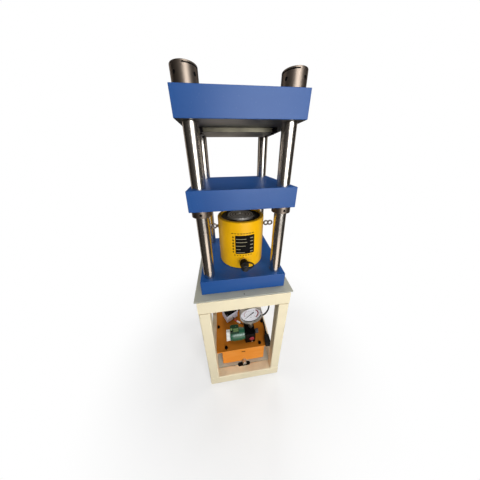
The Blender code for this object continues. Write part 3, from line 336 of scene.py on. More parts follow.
def blue_enamel():
    """Blue paint on the three plates; what faces down is bare steel, as the tool plate needs it."""
    finish = Finish("blue enamel", "blue_enamel", {"IOR": 1.5, "Specular IOR Level": 0.45})
    cloud = finish.noise(7.0, 4.0)
    grain = finish.noise(420.0, 2.0)
    fleck = finish.noise(230.0, 2.0).rising(0.66, 0.74)
    rolled = finish.noise(30.0, 5.0, (1, 12, 1))
    up = finish.facing()[2]
    under = (0 - up).rising(0.90, 0.98)
    shade = finish.blend(cloud.rising(0.3, 0.8) * 0.5, paint(18, 78, 147), paint(14, 68, 136))
    shade = finish.blend(fleck * 0.15, shade, paint(110, 140, 180))
    steel = finish.blend(rolled.rising(0.3, 0.7), paint(92, 90, 84), paint(132, 129, 120))
    return finish.set(colour=finish.blend(under, shade, steel), metal=under * 0.9,
                      roughness=cloud * 0.08 + 0.40,
                      surface=finish.bump(grain, 0.25, 0.0002))


def powder_coat():
    """Orange powder coat with long, faint sprayed waves, and painted shade on what faces up: the top turns
    dark brown and a little duller.
    """
    finish = Finish("orange powder coat", "orange_powder_coat", {"IOR": 1.5, "Specular IOR Level": 0.18})
    waves = finish.noise(9.0, 5.0, (1, 1, 5)).rising(0.35, 0.75)
    grain = finish.noise(520.0, 2.0)
    # Painted shade: what faces up, such as the lid's top, turns dark brown.
    top_dust_and_shade = finish.facing()[2].rising(0.55, 0.95)
    shade = finish.blend(waves * 0.8, paint(234, 142, 44), paint(240, 158, 70))
    shade = finish.blend(top_dust_and_shade * 0.85, shade, paint(146, 83, 9))
    return finish.set(colour=shade, roughness=waves * 0.08 + top_dust_and_shade * 0.12 + 0.44,
                      surface=finish.bump(grain, 0.5, 0.0002))


def clear_glass():
    """Thin window glass: it shows what lies behind it and a faint gloss."""
    finish = Finish("gauge glass", None, {"Base Color": (0.05, 0.055, 0.055), "Roughness": 0.04})
    rim = finish.node("ShaderNodeLayerWeight", {}, {"Blend": 0.2}, 1)
    return finish.set(alpha=rim * 0.10 + 0.03)


cream = enamel("cream enamel", "cream_enamel", paint(247, 235, 202), paint(196, 176, 146), 0.46, 0.80,
               gloss=0.3)
table_grey = enamel("scuffed grey paint", "grey_plate", paint(172, 174, 162), paint(188, 184, 166),
                    0.50, 0.7)
# The yellow's dark olive on what faces up is painted shade.
yellow = enamel("yellow enamel", "yellow_enamel", paint(248, 186, 0), paint(120, 90, 12), 0.36, 0.8,
                coat=0.15, gloss=0.3)
orange = powder_coat()
green = enamel("green enamel", "green_enamel", paint(24, 92, 64), paint(52, 104, 82), 0.28, 0.3,
               coat=0.9)
dark_green = enamel("dark green enamel", "green_enamel", paint(12, 50, 28), paint(34, 66, 44),
                    0.40, 0.4)
pale_olive = enamel("pale olive print", None, paint(122, 146, 96), paint(134, 150, 110), 0.5, 0.2)
olive_plate = enamel("olive label plate", None, paint(62, 98, 50), paint(80, 108, 66), 0.5, 0.4)
column_steel = turned_metal("ground column steel", "ground_steel", paint(206, 200, 192), 0.18,
                            (1, 1, 0.4), 0.04, 0.8, 0.25, 0.0)
ram_steel = turned_metal("polished ram steel", "ground_steel", paint(200, 199, 195), 0.14, (1, 1, 50))
nut_steel = turned_metal("turned nut steel", "turned_steel", paint(134, 122, 111), 0.34,
                         (1, 1, 50), 0.08)
saddle_steel = turned_metal("rubbed saddle steel", "turned_steel", paint(206, 204, 198), 0.46,
                            (1, 1, 50), 0.08)
tool_steel = turned_metal("grimy tool steel", "turned_steel", paint(128, 124, 108), 0.40,
                          (30, 1, 1), 0.15, 0.30, 0.9, 0.3)
dull_steel = turned_metal("grimy steel", "turned_steel", paint(158, 150, 138), 0.34,
                          (1, 1, 50), 0.12)
bright_rim = turned_metal("polished gauge rim", "ground_steel", paint(222, 219, 212), 0.26,
                          (1, 30, 1), 0.05)
black_steel = turned_metal("blackened steel", "blackened_steel", paint(27, 26, 27), 0.36,
                           (1, 1, 30), 0.15)
rubber = moulded("black rubber", "black_rubber", paint(24, 24, 25), 0.55)
black_case = moulded("black plastic", "black_rubber", paint(8, 8, 9), 0.62, 600.0, 0.2, 0.1)
dark_knob = moulded("dark grey plastic", "grey_plastic", paint(48, 48, 52), 0.45, 700.0, 0.2)
lilac_case = moulded("pale lilac plastic", "grey_plastic", paint(222, 223, 238), 0.40, 700.0, 0.2)
white_case = moulded("white plastic", "white_plastic", paint(232, 232, 228), 0.38, 700.0, 0.2)
red_switch = moulded("red plastic", "red_plastic", paint(150, 32, 50), 0.42, 500.0, 0.05, 0.3)
# A dark fill: the real black of the jack's panel, a screw and a plug, and painted shade in spanner holes,
# saw cuts, the saddle's grooves, the shelf slot and the tank's slit.
grime_and_shade = moulded("oily grime and painted shade", "blackened_steel", paint(14, 12, 11), 0.70, 400.0, 0.4, 0.1)
dial_white = moulded("white dial", "dial_white", paint(234, 234, 240), 0.50, 1200.0, 0.05)
dial_black = moulded("dial print", "blackened_steel", paint(14, 14, 15), 0.55, 1200.0, 0.05, 0.2)
dial_red = moulded("red dial print", None, paint(132, 22, 44), 0.50, 1200.0, 0.05, 0.2)
dial_pink = moulded("pale red dial print", None, paint(160, 104, 116), 0.50, 1200.0, 0.05, 0.2)
pale_print = moulded("pale print", None, paint(158, 150, 122), 0.55, 1200.0, 0.05, 0.2)
pale_sheath = moulded("pale sheath", None, paint(222, 214, 210), 0.45, 1200.0, 0.05)
red_sheath = moulded("red sheath", None, paint(176, 60, 60), 0.45, 1200.0, 0.05)
blue = blue_enamel()
glass = clear_glass()


# Mesh tools

def polar(radius, angle):
    """A point of the plane, at a radius and at an angle in radians from its first axis."""
    return radius * math.cos(angle), radius * math.sin(angle)


def lathe(profile, steps=72, ring=False):
    """A solid turned about Z from (radius, height) points; a ring's profile closes on itself."""
    bm = bmesh.new()
    points = [bm.verts.new((radius, 0, height)) for radius, height in profile]
    pairs = list(zip(points, points[1:]))
    if ring:
        pairs.append((points[-1], points[0]))
    edges = [bm.edges.new(pair) for pair in pairs]
    bmesh.ops.spin(bm, geom=points + edges, cent=(0, 0, 0), axis=(0, 0, 1), angle=math.tau,
                   steps=steps, use_merge=True)
    bmesh.ops.remove_doubles(bm, verts=bm.verts, dist=0.000005)
    return bm


def bar(diameter, low, high, steps=32, edge=0.0003):
    radius = diameter / 2
    return lathe([(0, low), (radius - edge, low), (radius, low + edge), (radius, high - edge),
                  (radius - edge, high), (0, high)], steps)


def prism(outline, low, high):
    bm = bmesh.new()
    face = bm.faces.new([bm.verts.new((x, y, low)) for x, y in outline])
    grown = bmesh.ops.extrude_face_region(bm, geom=[face])
    top = [item for item in grown["geom"] if isinstance(item, bmesh.types.BMVert)]
    bmesh.ops.translate(bm, verts=top, vec=(0, 0, high - low))
    bmesh.ops.recalc_face_normals(bm, faces=bm.faces)
    return bm


def softened(bm, edge, segments=3, angle=30.0):
    """Rounds every edge that turns by more than the angle."""
    bmesh.ops.recalc_face_normals(bm, faces=bm.faces)
    limit = math.radians(angle)
    sharp = [item for item in bm.edges if len(item.link_faces) == 2 and item.calc_face_angle(0) > limit]
    bmesh.ops.bevel(bm, geom=sharp, offset=edge, segments=segments, profile=0.5, affect='EDGES',
                    clamp_overlap=True)
    return bm


def slab(width, depth, height, edge=0.0008, segments=3):
    bm = bmesh.new()
    bmesh.ops.create_cube(bm, size=1.0, matrix=Matrix.Diagonal((width, depth, height, 1.0)))
    return softened(bm, edge, segments) if edge else bm


def boxed(node, edge, segments=3):
    """A slab that takes the size and place of a plain node."""
    low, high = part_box(node)
    return placed(slab(*(high - low), edge, segments), (low + high) / 2)


def hexagon(across):
    """A hexagon's corners, from its width across flats."""
    return [polar(across / math.cos(math.pi / 6) / 2, math.pi / 6 + math.tau * side / 6)
            for side in range(6)]


def placed(bm, location=(0, 0, 0), turn=(0, 0, 0)):
    """The mesh turned, then moved; turn is three angles or a matrix."""
    if isinstance(turn, Matrix):
        turned = turn.to_4x4()
    else:
        rx, ry, rz = (Matrix.Rotation(angle, 4, axis) for angle, axis in zip(turn, "XYZ"))
        turned = rz @ ry @ rx
    bmesh.ops.transform(bm, matrix=Matrix.Translation(location) @ turned, verts=bm.verts)
    return bm


def meshed(name, bm):
    """A mesh being worked on, put into mesh data of its own."""
    mesh = bpy.data.meshes.new(name)
    bm.to_mesh(mesh)
    bm.free()
    return mesh


def reopened(mesh):
    """Mesh data taken back to be worked on."""
    bm = bmesh.new()
    bm.from_mesh(mesh)
    bpy.data.meshes.remove(mesh)
    return bm


def joined(*meshes):
    """Several meshes as one."""
    whole = bmesh.new()
    for bm in meshes:
        part = meshed("part", bm)
        whole.from_mesh(part)
        bpy.data.meshes.remove(part)
    return whole


def loose(bm):
    bmesh.ops.recalc_face_normals(bm, faces=bm.faces)
    return added("work", meshed("work", bm))


def carved(bm, *tools):
    """The mesh less each tool, taken as plain mesh."""
    body = loose(bm)
    cutters = [loose(tool) for tool in tools]
    for item in cutters:
        change = body.modifiers.new("cut", 'BOOLEAN')
        change.operation = 'DIFFERENCE'
        change.solver = 'EXACT'
        change.object = item
    graph = bpy.context.evaluated_depsgraph_get()
    mesh = bpy.data.meshes.new_from_object(body.evaluated_get(graph))
    for item in [body] + cutters:
        bpy.data.objects.remove(item, do_unlink=True)
    return reopened(mesh)


def swept(points, radii, sides=16, flat=None):
    """A closed tube along points; flat makes it a band, by half width, half thickness and the way
    that its width lies."""
    bm = bmesh.new()
    rings = []
    side = None
    for index, point in enumerate(points):
        before, after = points[max(index - 1, 0)], points[min(index + 1, len(points) - 1)]
        ahead = (after - before).normalized()
        if side is None:
            side = ahead.orthogonal().normalized() if flat is None else Vector(flat[2])
        side = (side - ahead * side.dot(ahead)).normalized()
        over = ahead.cross(side)
        if flat:
            offsets = [side * (flat[0] * a) + over * (flat[1] * b)
                       for a, b in ((-1, -1), (1, -1), (1, 1), (-1, 1))]
        else:
            radius = radii[index] if isinstance(radii, list) else radii
            circle = [polar(radius, math.tau * step / sides) for step in range(sides)]
            offsets = [side * a + over * b for a, b in circle]
        rings.append([bm.verts.new(point + offset) for offset in offsets])
    for first, second in zip(rings, rings[1:]):
        for index in range(len(first)):
            following = (index + 1) % len(first)
            bm.faces.new((first[index], first[following], second[following], second[index]))
    bm.faces.new(rings[0][::-1])
    bm.faces.new(rings[-1])
    return bm


def hoop(major, minor, centre):
    """A round-section ring that lies across Y."""
    section = [polar(minor, math.tau * step / 14) for step in range(14)]
    return placed(lathe([(major + out, up) for out, up in section], 40, True), centre, FRONT_FACING)


def put(name, bm, finish, body="frame", instead=(), sharp=35.0):
    """A finished piece in place, riding on a body, and shown instead of the plain nodes named."""
    bmesh.ops.recalc_face_normals(bm, faces=bm.faces)
    mesh = meshed(name, bm)
    mesh.shade_smooth()
    mesh.set_sharp_from_angle(angle=math.radians(sharp))
    mesh.materials.append(finish.material)
    piece = added(name, mesh)
    weighted = piece.modifiers.new("even shading", 'WEIGHTED_NORMAL')
    weighted.keep_sharp = True
    return settle(piece, body, instead)


def settle(piece, body="frame", instead=()):
    if instead:
        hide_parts(*instead)
    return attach(piece, body)


def middle(node):
    low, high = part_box(node)
    return (low + high) / 2


def socket_screw(head_d, head_h, at, turn=(0, 0, 0)):
    """A cap screw's head with its hexagon socket; it stands on the point along its own Z."""
    radius, edge = head_d / 2, 0.0006
    head = lathe([(0, 0), (radius, 0), (radius, head_h - edge), (radius - edge, head_h), (0, head_h)], 28)
    return placed(carved(head, prism(hexagon(head_d / 2), head_h * 0.45, head_h * 2)), at, turn)


# Stand

TUBE_CORNER = 0.0045
TUBE_WALL = 0.003
SLOT_L = 0.068
SLOT_W = 0.018
CORNERS = {"front_left": (-1, -1), "front_right": (1, -1), "back_left": (-1, 1), "back_right": (1, 1)}


def rounded_outline(width, height, radius):
    points = []
    for centre_x, centre_y, start in ((width - radius, radius, -90), (width - radius, height - radius, 0),
                                      (radius, height - radius, 90), (radius, radius, 180)):
        for step in range(7):
            x, y = polar(radius, math.radians(start + 15 * step))
            points.append((centre_x + x, centre_y + y))
    return points


def square_tube(width, height, start, end):
    """A hollow square tube whose ends are given by functions of a point of its outline."""
    outer = rounded_outline(width, height, TUBE_CORNER)
    inner = [(u + TUBE_WALL, v + TUBE_WALL) for u, v in
             rounded_outline(width - 2 * TUBE_WALL, height - 2 * TUBE_WALL, TUBE_CORNER - TUBE_WALL)]
    bm = bmesh.new()
    loops = [[bm.verts.new(place(u, v)) for u, v in line]
             for line, place in ((outer, start), (inner, start), (outer, end), (inner, end))]
    outer_start, inner_start, outer_end, inner_end = loops
    for near, far in ((outer_start, outer_end), (inner_end, inner_start),
                      (inner_start, outer_start), (outer_end, inner_end)):
        for index in range(len(near)):
            following = (index + 1) % len(near)
            bm.faces.new((near[index], near[following], far[following], far[index]))
    return bm


def obround(length, width, low, high):
    half = (length - width) / 2
    outline = []
    for side, start in ((1, -90), (-1, 90)):
        for step in range(13):
            x, y = polar(width / 2, math.radians(start + 15 * step))
            outline.append((side * half + x, y))
    return prism(outline, low, high)


def build_rail(part, side, turn):
    """One rail or apron, made as the front one and turned to its side."""
    node = f"stand_{part}_{side}"
    low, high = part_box(node)
    across = turn % 180 == 0
    half = (high.x - low.x if across else high.y - low.y) / 2
    deep = high.y - low.y if across else high.x - low.x
    outer = max(abs(low.y), abs(high.y)) if across else max(abs(low.x), abs(high.x))
    tube = square_tube(deep, high.z - low.z, lambda u, v: (-half + u, u, v),
                       lambda u, v: (half - u, u, v))
    tube = placed(tube, (0, -outer, low.z))
    if node == "stand_rail_front":
        tube = carved(tube, placed(obround(SLOT_L, SLOT_W, -0.01, 0.01), (0, -outer + deep, high.z)))
    put(f"painted_{part}_{side}", placed(tube, (0, 0, 0), (0, 0, math.radians(turn))), cream,
        instead=(node,))


def build_stand():
    for part in ("rail", "apron"):
        for side, turn in (("front", 0), ("right", 90), ("back", 180), ("left", 270)):
            build_rail(part, side, turn)
    for corner in CORNERS:
        node = f"stand_leg_{corner}"
        low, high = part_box(node)
        leg = square_tube(high.x - low.x, high.y - low.y, lambda u, v: (u, v, 0),
                          lambda u, v: (u, v, high.z - low.z))
        put(f"painted_leg_{corner}", placed(leg, low), cream, instead=(node,))
    put("table_plate", boxed("stand_top_plate", 0.0006), table_grey, instead=("stand_top_plate",))
    low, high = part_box("stand_shelf")
    slot_at = (0, low.y - GAP, high.z)
    shelf = carved(boxed("stand_shelf", 0), placed(obround(SLOT_L, SLOT_W, -0.01, 0.01), slot_at))
    put("shelf_plate", shelf, table_grey, instead=("stand_shelf",))
    # Painted shade: a dark plate just under the slot, inside the tube.
    slot_shade = softened(obround(SLOT_L - 2 * GAP, SLOT_W - 2 * GAP, -0.0030, -0.0012), 0.0002, 1)
    put("slot_shade_plate", placed(slot_shade, slot_at), grime_and_shade)
    low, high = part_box("stand_top_plate")
    screw = placed(bar(0.0042, -0.0010, 0.0004, 20, 0.0002), (-0.002, low.y + 0.0125, high.z))
    put("table_screw", screw, grime_and_shade)


build_stand()


# Press plates, columns, nuts and collars

COLUMN_D = 0.040
STUD_D = 0.030
BASE_BORE_L = 0.046
CLAMP_SCREW_Y = 0.038
PIN_HOLE_D = 0.008
NUT_HOLES_UP = 0.0195
SAW_CUT = 0.0026
SAW_DOWN = 0.0045
NUT_TURNS = {"front_left": -36.0, "front_right": -60.0, "back_left": 12.0, "back_right": 31.0}


def columns_at():
    """Each column's corner, the sides it stands on, and its centre."""
    for corner, (side_x, side_y) in CORNERS.items():
        centre = middle(f"column_{corner}")
        yield corner, side_x, side_y, centre.x, centre.y


def build_plates():
    for node, name, bore, body in (("base_plate", "base_plate_painted", STUD_D, "frame"),
                                   ("crosshead", "crosshead_painted", STUD_D, "frame"),
                                   ("moving_platen", "moving_plate_painted", COLUMN_D, "platen")):
        low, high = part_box(node)
        floor = high.z - BASE_BORE_L - GAP if node == "base_plate" else low.z - 0.01
        bores = [placed(bar(bore + 2 * GAP, floor, high.z + 0.01, 48, 0), (x, y, 0))
                 for _, _, _, x, y in columns_at()]
        put(name, carved(boxed(node, 0.0014), *bores), blue, body, (node,))


def pin_holes(diameter, inner, outer, height, turn):
    """Four short bars that point outward, a quarter turn apart, as a ring's spanner holes do."""
    drills = []
    for quarter in range(4):
        drill = placed(bar(diameter, inner, outer, 24, 0), (0, 0, 0), (0, math.pi / 2, 0))
        drills.append(placed(drill, (0, 0, height), (0, 0, math.radians(turn + 90 * quarter))))
    return drills


def ring_nut(bore, outside, height, hole_height, turn):
    """A round nut or collar with four holes for a pin spanner."""
    inner, outer, edge = bore / 2, outside / 2, 0.0010
    ring = lathe([(inner, edge / 2), (inner + edge / 2, 0), (outer - edge, 0),
                  (outer - edge * 0.3, edge * 0.3), (outer, edge), (outer, height - edge),
                  (outer - edge * 0.3, height - edge * 0.3), (outer - edge, height),
                  (inner + edge, height), (inner, height - edge)], 72, True)
    return carved(ring, *pin_holes(PIN_HOLE_D, outer - 0.007, outside, hole_height, turn))


def hole_shade(outside, hole_height, turn):
    """Painted shade: a dark fill at the bottom of a ring's four spanner holes."""
    outer = outside / 2
    return joined(*pin_holes(PIN_HOLE_D - 0.0001, outer - 0.0068, outer - 0.0010, hole_height, turn))


def build_column(corner, x, y):
    """A ground column with a thinner stud at each end, and a centre hole in its top."""
    low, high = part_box(f"column_{corner}")
    shoulder_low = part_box("base_plate")[1].z + GAP
    shoulder_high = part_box("crosshead")[0].z - GAP
    stud, shaft = STUD_D / 2, COLUMN_D / 2
    profile = [(0, low.z), (stud, low.z), (stud, shoulder_low), (shaft - 0.0005, shoulder_low),
               (shaft, shoulder_low + 0.0005), (shaft, shoulder_high - 0.0005),
               (shaft - 0.0005, shoulder_high), (stud, shoulder_high),
               (stud, high.z - 0.0015), (stud - 0.0015, high.z), (0.0042, high.z),
               (0.0014, high.z - 0.0030), (0, high.z - 0.0045)]
    put(f"ground_column_{corner}", placed(lathe(profile, 96), (x, y, 0)), column_steel,
        instead=(f"column_{corner}",))


def build_nut(corner, side_x, side_y, x, y):
    """A round nut, sawn half way through and clamped by a screw, with painted shade, a dark fill, in cut
    and holes.
    """
    node = f"column_nut_{corner}"
    low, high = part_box(node)
    outside, height = high.x - low.x, high.z - low.z
    saw_up = height - SAW_DOWN
    saw = placed(slab(0.060, 0.120, SAW_CUT, 0), (-side_x * 0.030, 0, saw_up))
    screw_at = (-side_x * 0.0225, side_y * 0.004, height - 0.0035)
    nut = ring_nut(STUD_D + 2 * GAP, outside, height, NUT_HOLES_UP, NUT_TURNS[corner])
    nut = carved(nut, saw, placed(bar(0.0068, 0, 0.02, 24, 0), screw_at))
    put(f"round_nut_{corner}", placed(nut, (x, y, low.z)), nut_steel, instead=(node,))
    inner, outer, half_cut = STUD_D / 2 + 0.0008, outside / 2 - 0.0005, SAW_CUT / 2 - 0.0001
    # Painted shade: a dark fill in the saw cut, joined with one in the spanner holes.
    shade_fill = lathe([(inner, saw_up - half_cut), (outer, saw_up - half_cut),
                  (outer, saw_up + half_cut), (inner, saw_up + half_cut)], 72, True)
    shade_fill = carved(shade_fill, placed(slab(0.060, 0.120, 0.01, 0), (side_x * 0.0298, 0, saw_up)),
                  placed(bar(0.0072, 0, 0.02, 24, 0), screw_at))
    shade_fill = joined(shade_fill, hole_shade(outside, NUT_HOLES_UP, NUT_TURNS[corner]))
    put(f"nut_shade_{corner}", placed(shade_fill, (x, y, low.z)), grime_and_shade)
    screw = socket_screw(0.0062, 0.0030, screw_at)
    put(f"nut_clamp_screw_{corner}", placed(screw, (x, y, low.z)), black_steel)


def build_collar(corner, x, y):
    node = f"stop_collar_{corner}"
    low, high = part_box(node)
    outside, height = high.x - low.x, high.z - low.z
    collar = ring_nut(COLUMN_D + 2 * GAP, outside, height, height / 2, -90.0)
    put(f"turned_collar_{corner}", placed(collar, (x, y, low.z)), nut_steel, instead=(node,))
    # Painted shade: a dark fill in the collar's spanner holes.
    shade_fill = hole_shade(outside, height / 2, -90.0)
    put(f"collar_shade_{corner}", placed(shade_fill, (x, y, low.z)), grime_and_shade)


def build_columns():
    for corner, side_x, side_y, x, y in columns_at():
        build_column(corner, x, y)
        build_nut(corner, side_x, side_y, x, y)
        build_collar(corner, x, y)


def build_tool_plate():
    put("ground_tool_plate", boxed("tool_plate", 0.0008), tool_steel, instead=("tool_plate",))
    for side in ("left", "right"):
        node = f"tool_clamp_{side}"
        put(f"black_clamp_{side}", boxed(node, 0.0015), black_steel, instead=(node,))
        for step, y in enumerate((-CLAMP_SCREW_Y, CLAMP_SCREW_Y)):
            at = (middle(node).x, y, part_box(node)[0].z)
            put(f"clamp_screw_{side}_{step + 1}", socket_screw(0.010, 0.004, at, (math.pi, 0, 0)),
                black_steel)


build_plates()
build_columns()
build_tool_plate()


# Jack

JACK = Vector((0.009, -0.014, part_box("jack_body")[0].z))
JACK_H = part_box("jack_body")[1].z - JACK.z
JACK_R = (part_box("jack_body")[1].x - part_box("jack_body")[0].x) / 2
RAM_R = 0.0555
GLAND_R = 0.0789
GLAND_H = 0.012
SADDLE_GROOVES = (0.82, 0.62, 0.42)
GLAND_DOWN = 0.005
COUPLER_ASIDE = -0.003
COUPLER_UP = 0.039
COUPLER_IN = 0.0016
COUPLER = JACK + Vector((COUPLER_ASIDE, COUPLER_IN - JACK_R - GAP, COUPLER_UP))
EYES_UP = 0.153


def build_jack_body():
    gland_seat = JACK_H - GLAND_DOWN - GLAND_H - GAP
    bore = RAM_R + GAP
    profile = [(0, 0), (JACK_R - 0.003, 0), (JACK_R - 0.0009, 0.0009), (JACK_R, 0.003),
               (JACK_R, JACK_H - 0.0034), (JACK_R - 0.0005, JACK_H - 0.0023),
               (JACK_R - 0.0026, JACK_H - 0.0003), (JACK_R - 0.0036, JACK_H), (GLAND_R + 0.001, JACK_H),
               (GLAND_R + GAP, JACK_H - 0.0007), (GLAND_R + GAP, gland_seat), (bore, gland_seat),
               (bore, 0.028), (0, 0.028)]
    spot = placed(bar(0.0301, JACK_R - COUPLER_IN, JACK_R + 0.004, 40, 0),
                  JACK + Vector((COUPLER_ASIDE, 0, COUPLER_UP)), FRONT_FACING)
    put("yellow_cylinder", carved(placed(lathe(profile, 128), JACK), spot), yellow,
        instead=("jack_body",))
    gland = lathe([(bore, 0), (GLAND_R, 0), (GLAND_R, 0.011), (GLAND_R - 0.0003, 0.0117),
                   (GLAND_R - 0.001, GLAND_H), (bore + 0.0036, GLAND_H), (bore + 0.003, 0.0116),
                   (bore, 0.009)], 128, True)
    drills = [placed(bar(0.007, 0.006, 0.02, 24, 0), (*polar(0.0703, math.radians(45 + 90 * step)), 0))
              for step in range(4)]
    gland = placed(carved(gland, *drills), JACK + Vector((0, 0, gland_seat + GAP)))
    put("gland_ring", gland, black_steel, instead=("jack_gland_ring",))


def build_ram():
    low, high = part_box("jack_ram")
    ram = lathe([(0, low.z), (RAM_R - 0.002, low.z), (RAM_R, low.z + 0.002), (RAM_R, high.z - 0.0014),
                 (RAM_R - 0.0004, high.z - 0.0004), (RAM_R - 0.0014, high.z), (0.0155, high.z),
                 (0.0155, high.z - 0.0125), (0, high.z - 0.0125)], 128)
    put("ram", placed(ram, (JACK.x, JACK.y, 0)), ram_steel, "ram", ("jack_ram",))
    low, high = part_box("jack_saddle")
    radius = (high.x - low.x) / 2
    top, foot = high.z, high.z - 0.0075
    profile = [(0, low.z), (0.0148, low.z), (0.0150, low.z + 0.0006), (0.0150, foot),
               (radius - 0.0006, foot), (radius, foot + 0.0006), (radius, top - 0.0022),
               (radius - 0.0006, top - 0.0008), (radius - 0.0020, top)]
    for share in SADDLE_GROOVES:
        profile += [(radius * share + out, top - down) for out, down in
                    ((0.0022, 0), (0.0017, 0.0004), (0.0006, 0.0017),
                     (-0.0006, 0.0017), (-0.0017, 0.0004), (-0.0022, 0))]
    profile += [(0.0102, top), (0.0085, top - 0.0030), (0, top - 0.0040)]
    put("grooved_saddle", placed(lathe(profile, 128), (JACK.x, JACK.y, 0)), saddle_steel, "ram",
        ("jack_saddle",))
    # Painted shade: a dark fill in the saddle's three grooves.
    section = ((-0.0010, 0.0019), (0.0010, 0.0019), (0.0013, 0.0009), (-0.0013, 0.0009))
    shade_fill = [lathe([(radius * share + out, top - down) for out, down in section], 96, True)
            for share in SADDLE_GROOVES]
    put("saddle_groove_shade", placed(joined(*shade_fill), (JACK.x, JACK.y, 0)), grime_and_shade, "ram")


def on_cylinder(angle, height, out):
    """A point on the jack's wall; the angle is in degrees from +X, the height in metres."""
    x, y = polar(JACK_R + out, math.radians(angle))
    return Vector((JACK.x + x, JACK.y + y, height))


def wrapped(start, end, low, high, under, over, corner=0.0):
    """A thin plate bent round the jack's wall, with its corners cut back by a radius."""
    bm = bmesh.new()
    steps = max(4, int(abs(end - start) * 1.2))
    turn_length = math.radians(1.0) * JACK_R
    columns = []
    for step in range(steps + 1):
        angle = start + (end - start) * step / steps
        edge = min(abs(angle - start), abs(end - angle)) * turn_length
        cut = corner - math.sqrt(max(corner ** 2 - (corner - edge) ** 2, 0)) if edge < corner else 0.0
        columns.append([bm.verts.new(on_cylinder(angle, height, out))
                        for height, out in ((low + cut, under), (high - cut, under),
                                            (high - cut, over), (low + cut, over))])
    for first, second in zip(columns, columns[1:]):
        for index in range(4):
            following = (index + 1) % 4
            bm.faces.new((first[index], first[following], second[following], second[index]))
    bm.faces.new(columns[0][::-1])
    bm.faces.new(columns[-1])
    return bm


def wrapped_fields(rows, under, over):
    """Bare fields on the jack's wall; each row gives start and end in degrees, height and tallness."""
    return joined(*(wrapped(start, end, height - tall / 2, height + tall / 2, under, over)
                    for start, end, height, tall in rows))


def build_panel():
    """A bare data panel on the cylinder's front: black, with pale blank fields in five rows."""
    left, right, low, high = -110.4, -64.8, 0.7480, 0.8270
    put("jack_panel", wrapped(left, right, low, high, 0.0001, 0.0007, 0.002), grime_and_shade)
    fields = []
    for down, reach in ((0.19, 0.56), (0.36, 0.60), (0.56, 0.52), (0.755, 0.26), (0.93, 0.48)):
        height = high - (high - low) * down
        fields.append((left + 1.8, left + (right - left) * reach, height, 0.0023))
        fields.append((right - 12.0 + 3.0 * reach, right - 3.4, height + 0.0030, 0.0034))
    put("jack_panel_fields", wrapped_fields(fields, 0.0007, 0.00085), pale_print)
    blanks = [(-119.0 + 6.8 * step, -114.4 + 6.8 * step, 0.8346, 0.0030) for step in range(8)]
    blanks += [(-113.6 + 6.6 * step, -110.6 + 6.6 * step, 0.7412, 0.0030) for step in range(7)]
    blanks += [(-117.2, -114.0, 0.8190 - 0.0128 * step, 0.0064) for step in range(6)]
    put("jack_panel_surround", wrapped_fields(blanks, 0.0001, 0.00035), grime_and_shade)


def knurled(diameter, low, high, ridges, depth):
    outline = [polar(diameter / 2 - (depth if step % 2 else 0), math.tau * step / ridges / 2)
               for step in range(ridges * 2)]
    return prism(outline, low, high)


def build_coupler():
    body = lathe([(0, -0.0167), (0.0077, -0.0167), (0.0077, 0.001), (0.0100, 0.001), (0.0100, 0.016),
                  (0.0145, 0.016), (0.0160, 0.0172), (0.0160, 0.0182), (0.0152, 0.0186), (0.0152, 0.0304),
                  (0.0160, 0.0308), (0.0160, 0.0318), (0.0150, 0.033), (0.0110, 0.033), (0.0110, 0.050),
                  (0, 0.050)], 64)
    grip = knurled(0.0330, 0.0187, 0.0303, 40, 0.0006)
    nut = softened(prism(hexagon(0.024), 0.0003, 0.0088), 0.0004, 2)
    put("quick_coupler", placed(joined(body, grip), COUPLER, FRONT_FACING), black_steel,
        instead=("jack_coupler",), sharp=30.0)
    put("coupler_hexagon", placed(nut, COUPLER, FRONT_FACING), bright_rim)
    inner, outer = 0.0113, 0.0143
    cap = lathe([(0, 0.0503), (inner, 0.0503), (inner, 0.0333), (outer + 0.0006, 0.0333),
                 (outer + 0.0006, 0.0352), (outer, 0.0356), (outer, 0.0495), (outer - 0.0008, 0.0515),
                 (outer - 0.003, 0.053), (outer - 0.005, 0.0535), (outer - 0.005, 0.0568),
                 (outer - 0.0065, 0.0583), (0, 0.0583)], 64)
    eye = lathe([(0.0103, 0.0091), (0.0133, 0.0091), (0.0133, 0.0157), (0.0103, 0.0157)], 48, True)
    near, far = Vector((0.0121, 0, 0.0124)), Vector((0.0078, 0, 0.0547))
    band = []
    for step in range(25):
        share = step / 24
        band.append(near.lerp(far, share) + Vector((0.02385 * math.sin(math.pi * share), 0, 0)))
    strap = softened(swept(band, 0, flat=(0.0035, 0.0014, (0, 1, 0))), 0.0004, 2, 50.0)
    put("dust_cap_and_strap", placed(joined(cap, eye, strap), COUPLER, FRONT_FACING), rubber,
        instead=("jack_dust_cap",))


def build_lifting_eyes():
    """On each side a double ring, one behind the other, on a collar that screws into the wall."""
    wire_r = 0.00325
    ring_r = 0.012 - wire_r
    near = JACK_R + 0.004 + 0.012
    for side, sign in (("left", -1), ("right", 1)):
        origin = JACK + Vector((0, 0, EYES_UP))
        rings = [hoop(ring_r, wire_r, origin + Vector((sign * reach, 0, 0)))
                 for reach in (near, near + 0.0175)]
        collar = lathe([(0, -0.012), (0.0045, -0.012), (0.0045, GAP), (0.0070, GAP),
                        (0.0075, 0.0010), (0.0075, 0.0022), (0.0060, 0.0030), (0.0042, 0.0050),
                        (0.0034, 0.0070), (0, 0.0072)], 32)
        collar = placed(collar, origin + Vector((sign * JACK_R, 0, 0)), (0, sign * math.pi / 2, 0))
        put(f"lifting_eye_{side}", joined(*rings, collar), nut_steel,
            instead=(f"jack_lifting_eye_{side}",))


build_jack_body()
build_ram()
build_panel()
build_coupler()
build_lifting_eyes()


# Pump: tank, lid, valve block, switch and knob

LID_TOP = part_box("pump_lid")[1].z
LID_SCREWS = ((-0.129, -0.014), (0.129, -0.014), (-0.0895, -0.124), (0.0895, -0.124),
              (-0.0895, 0.100), (0.0895, 0.100))


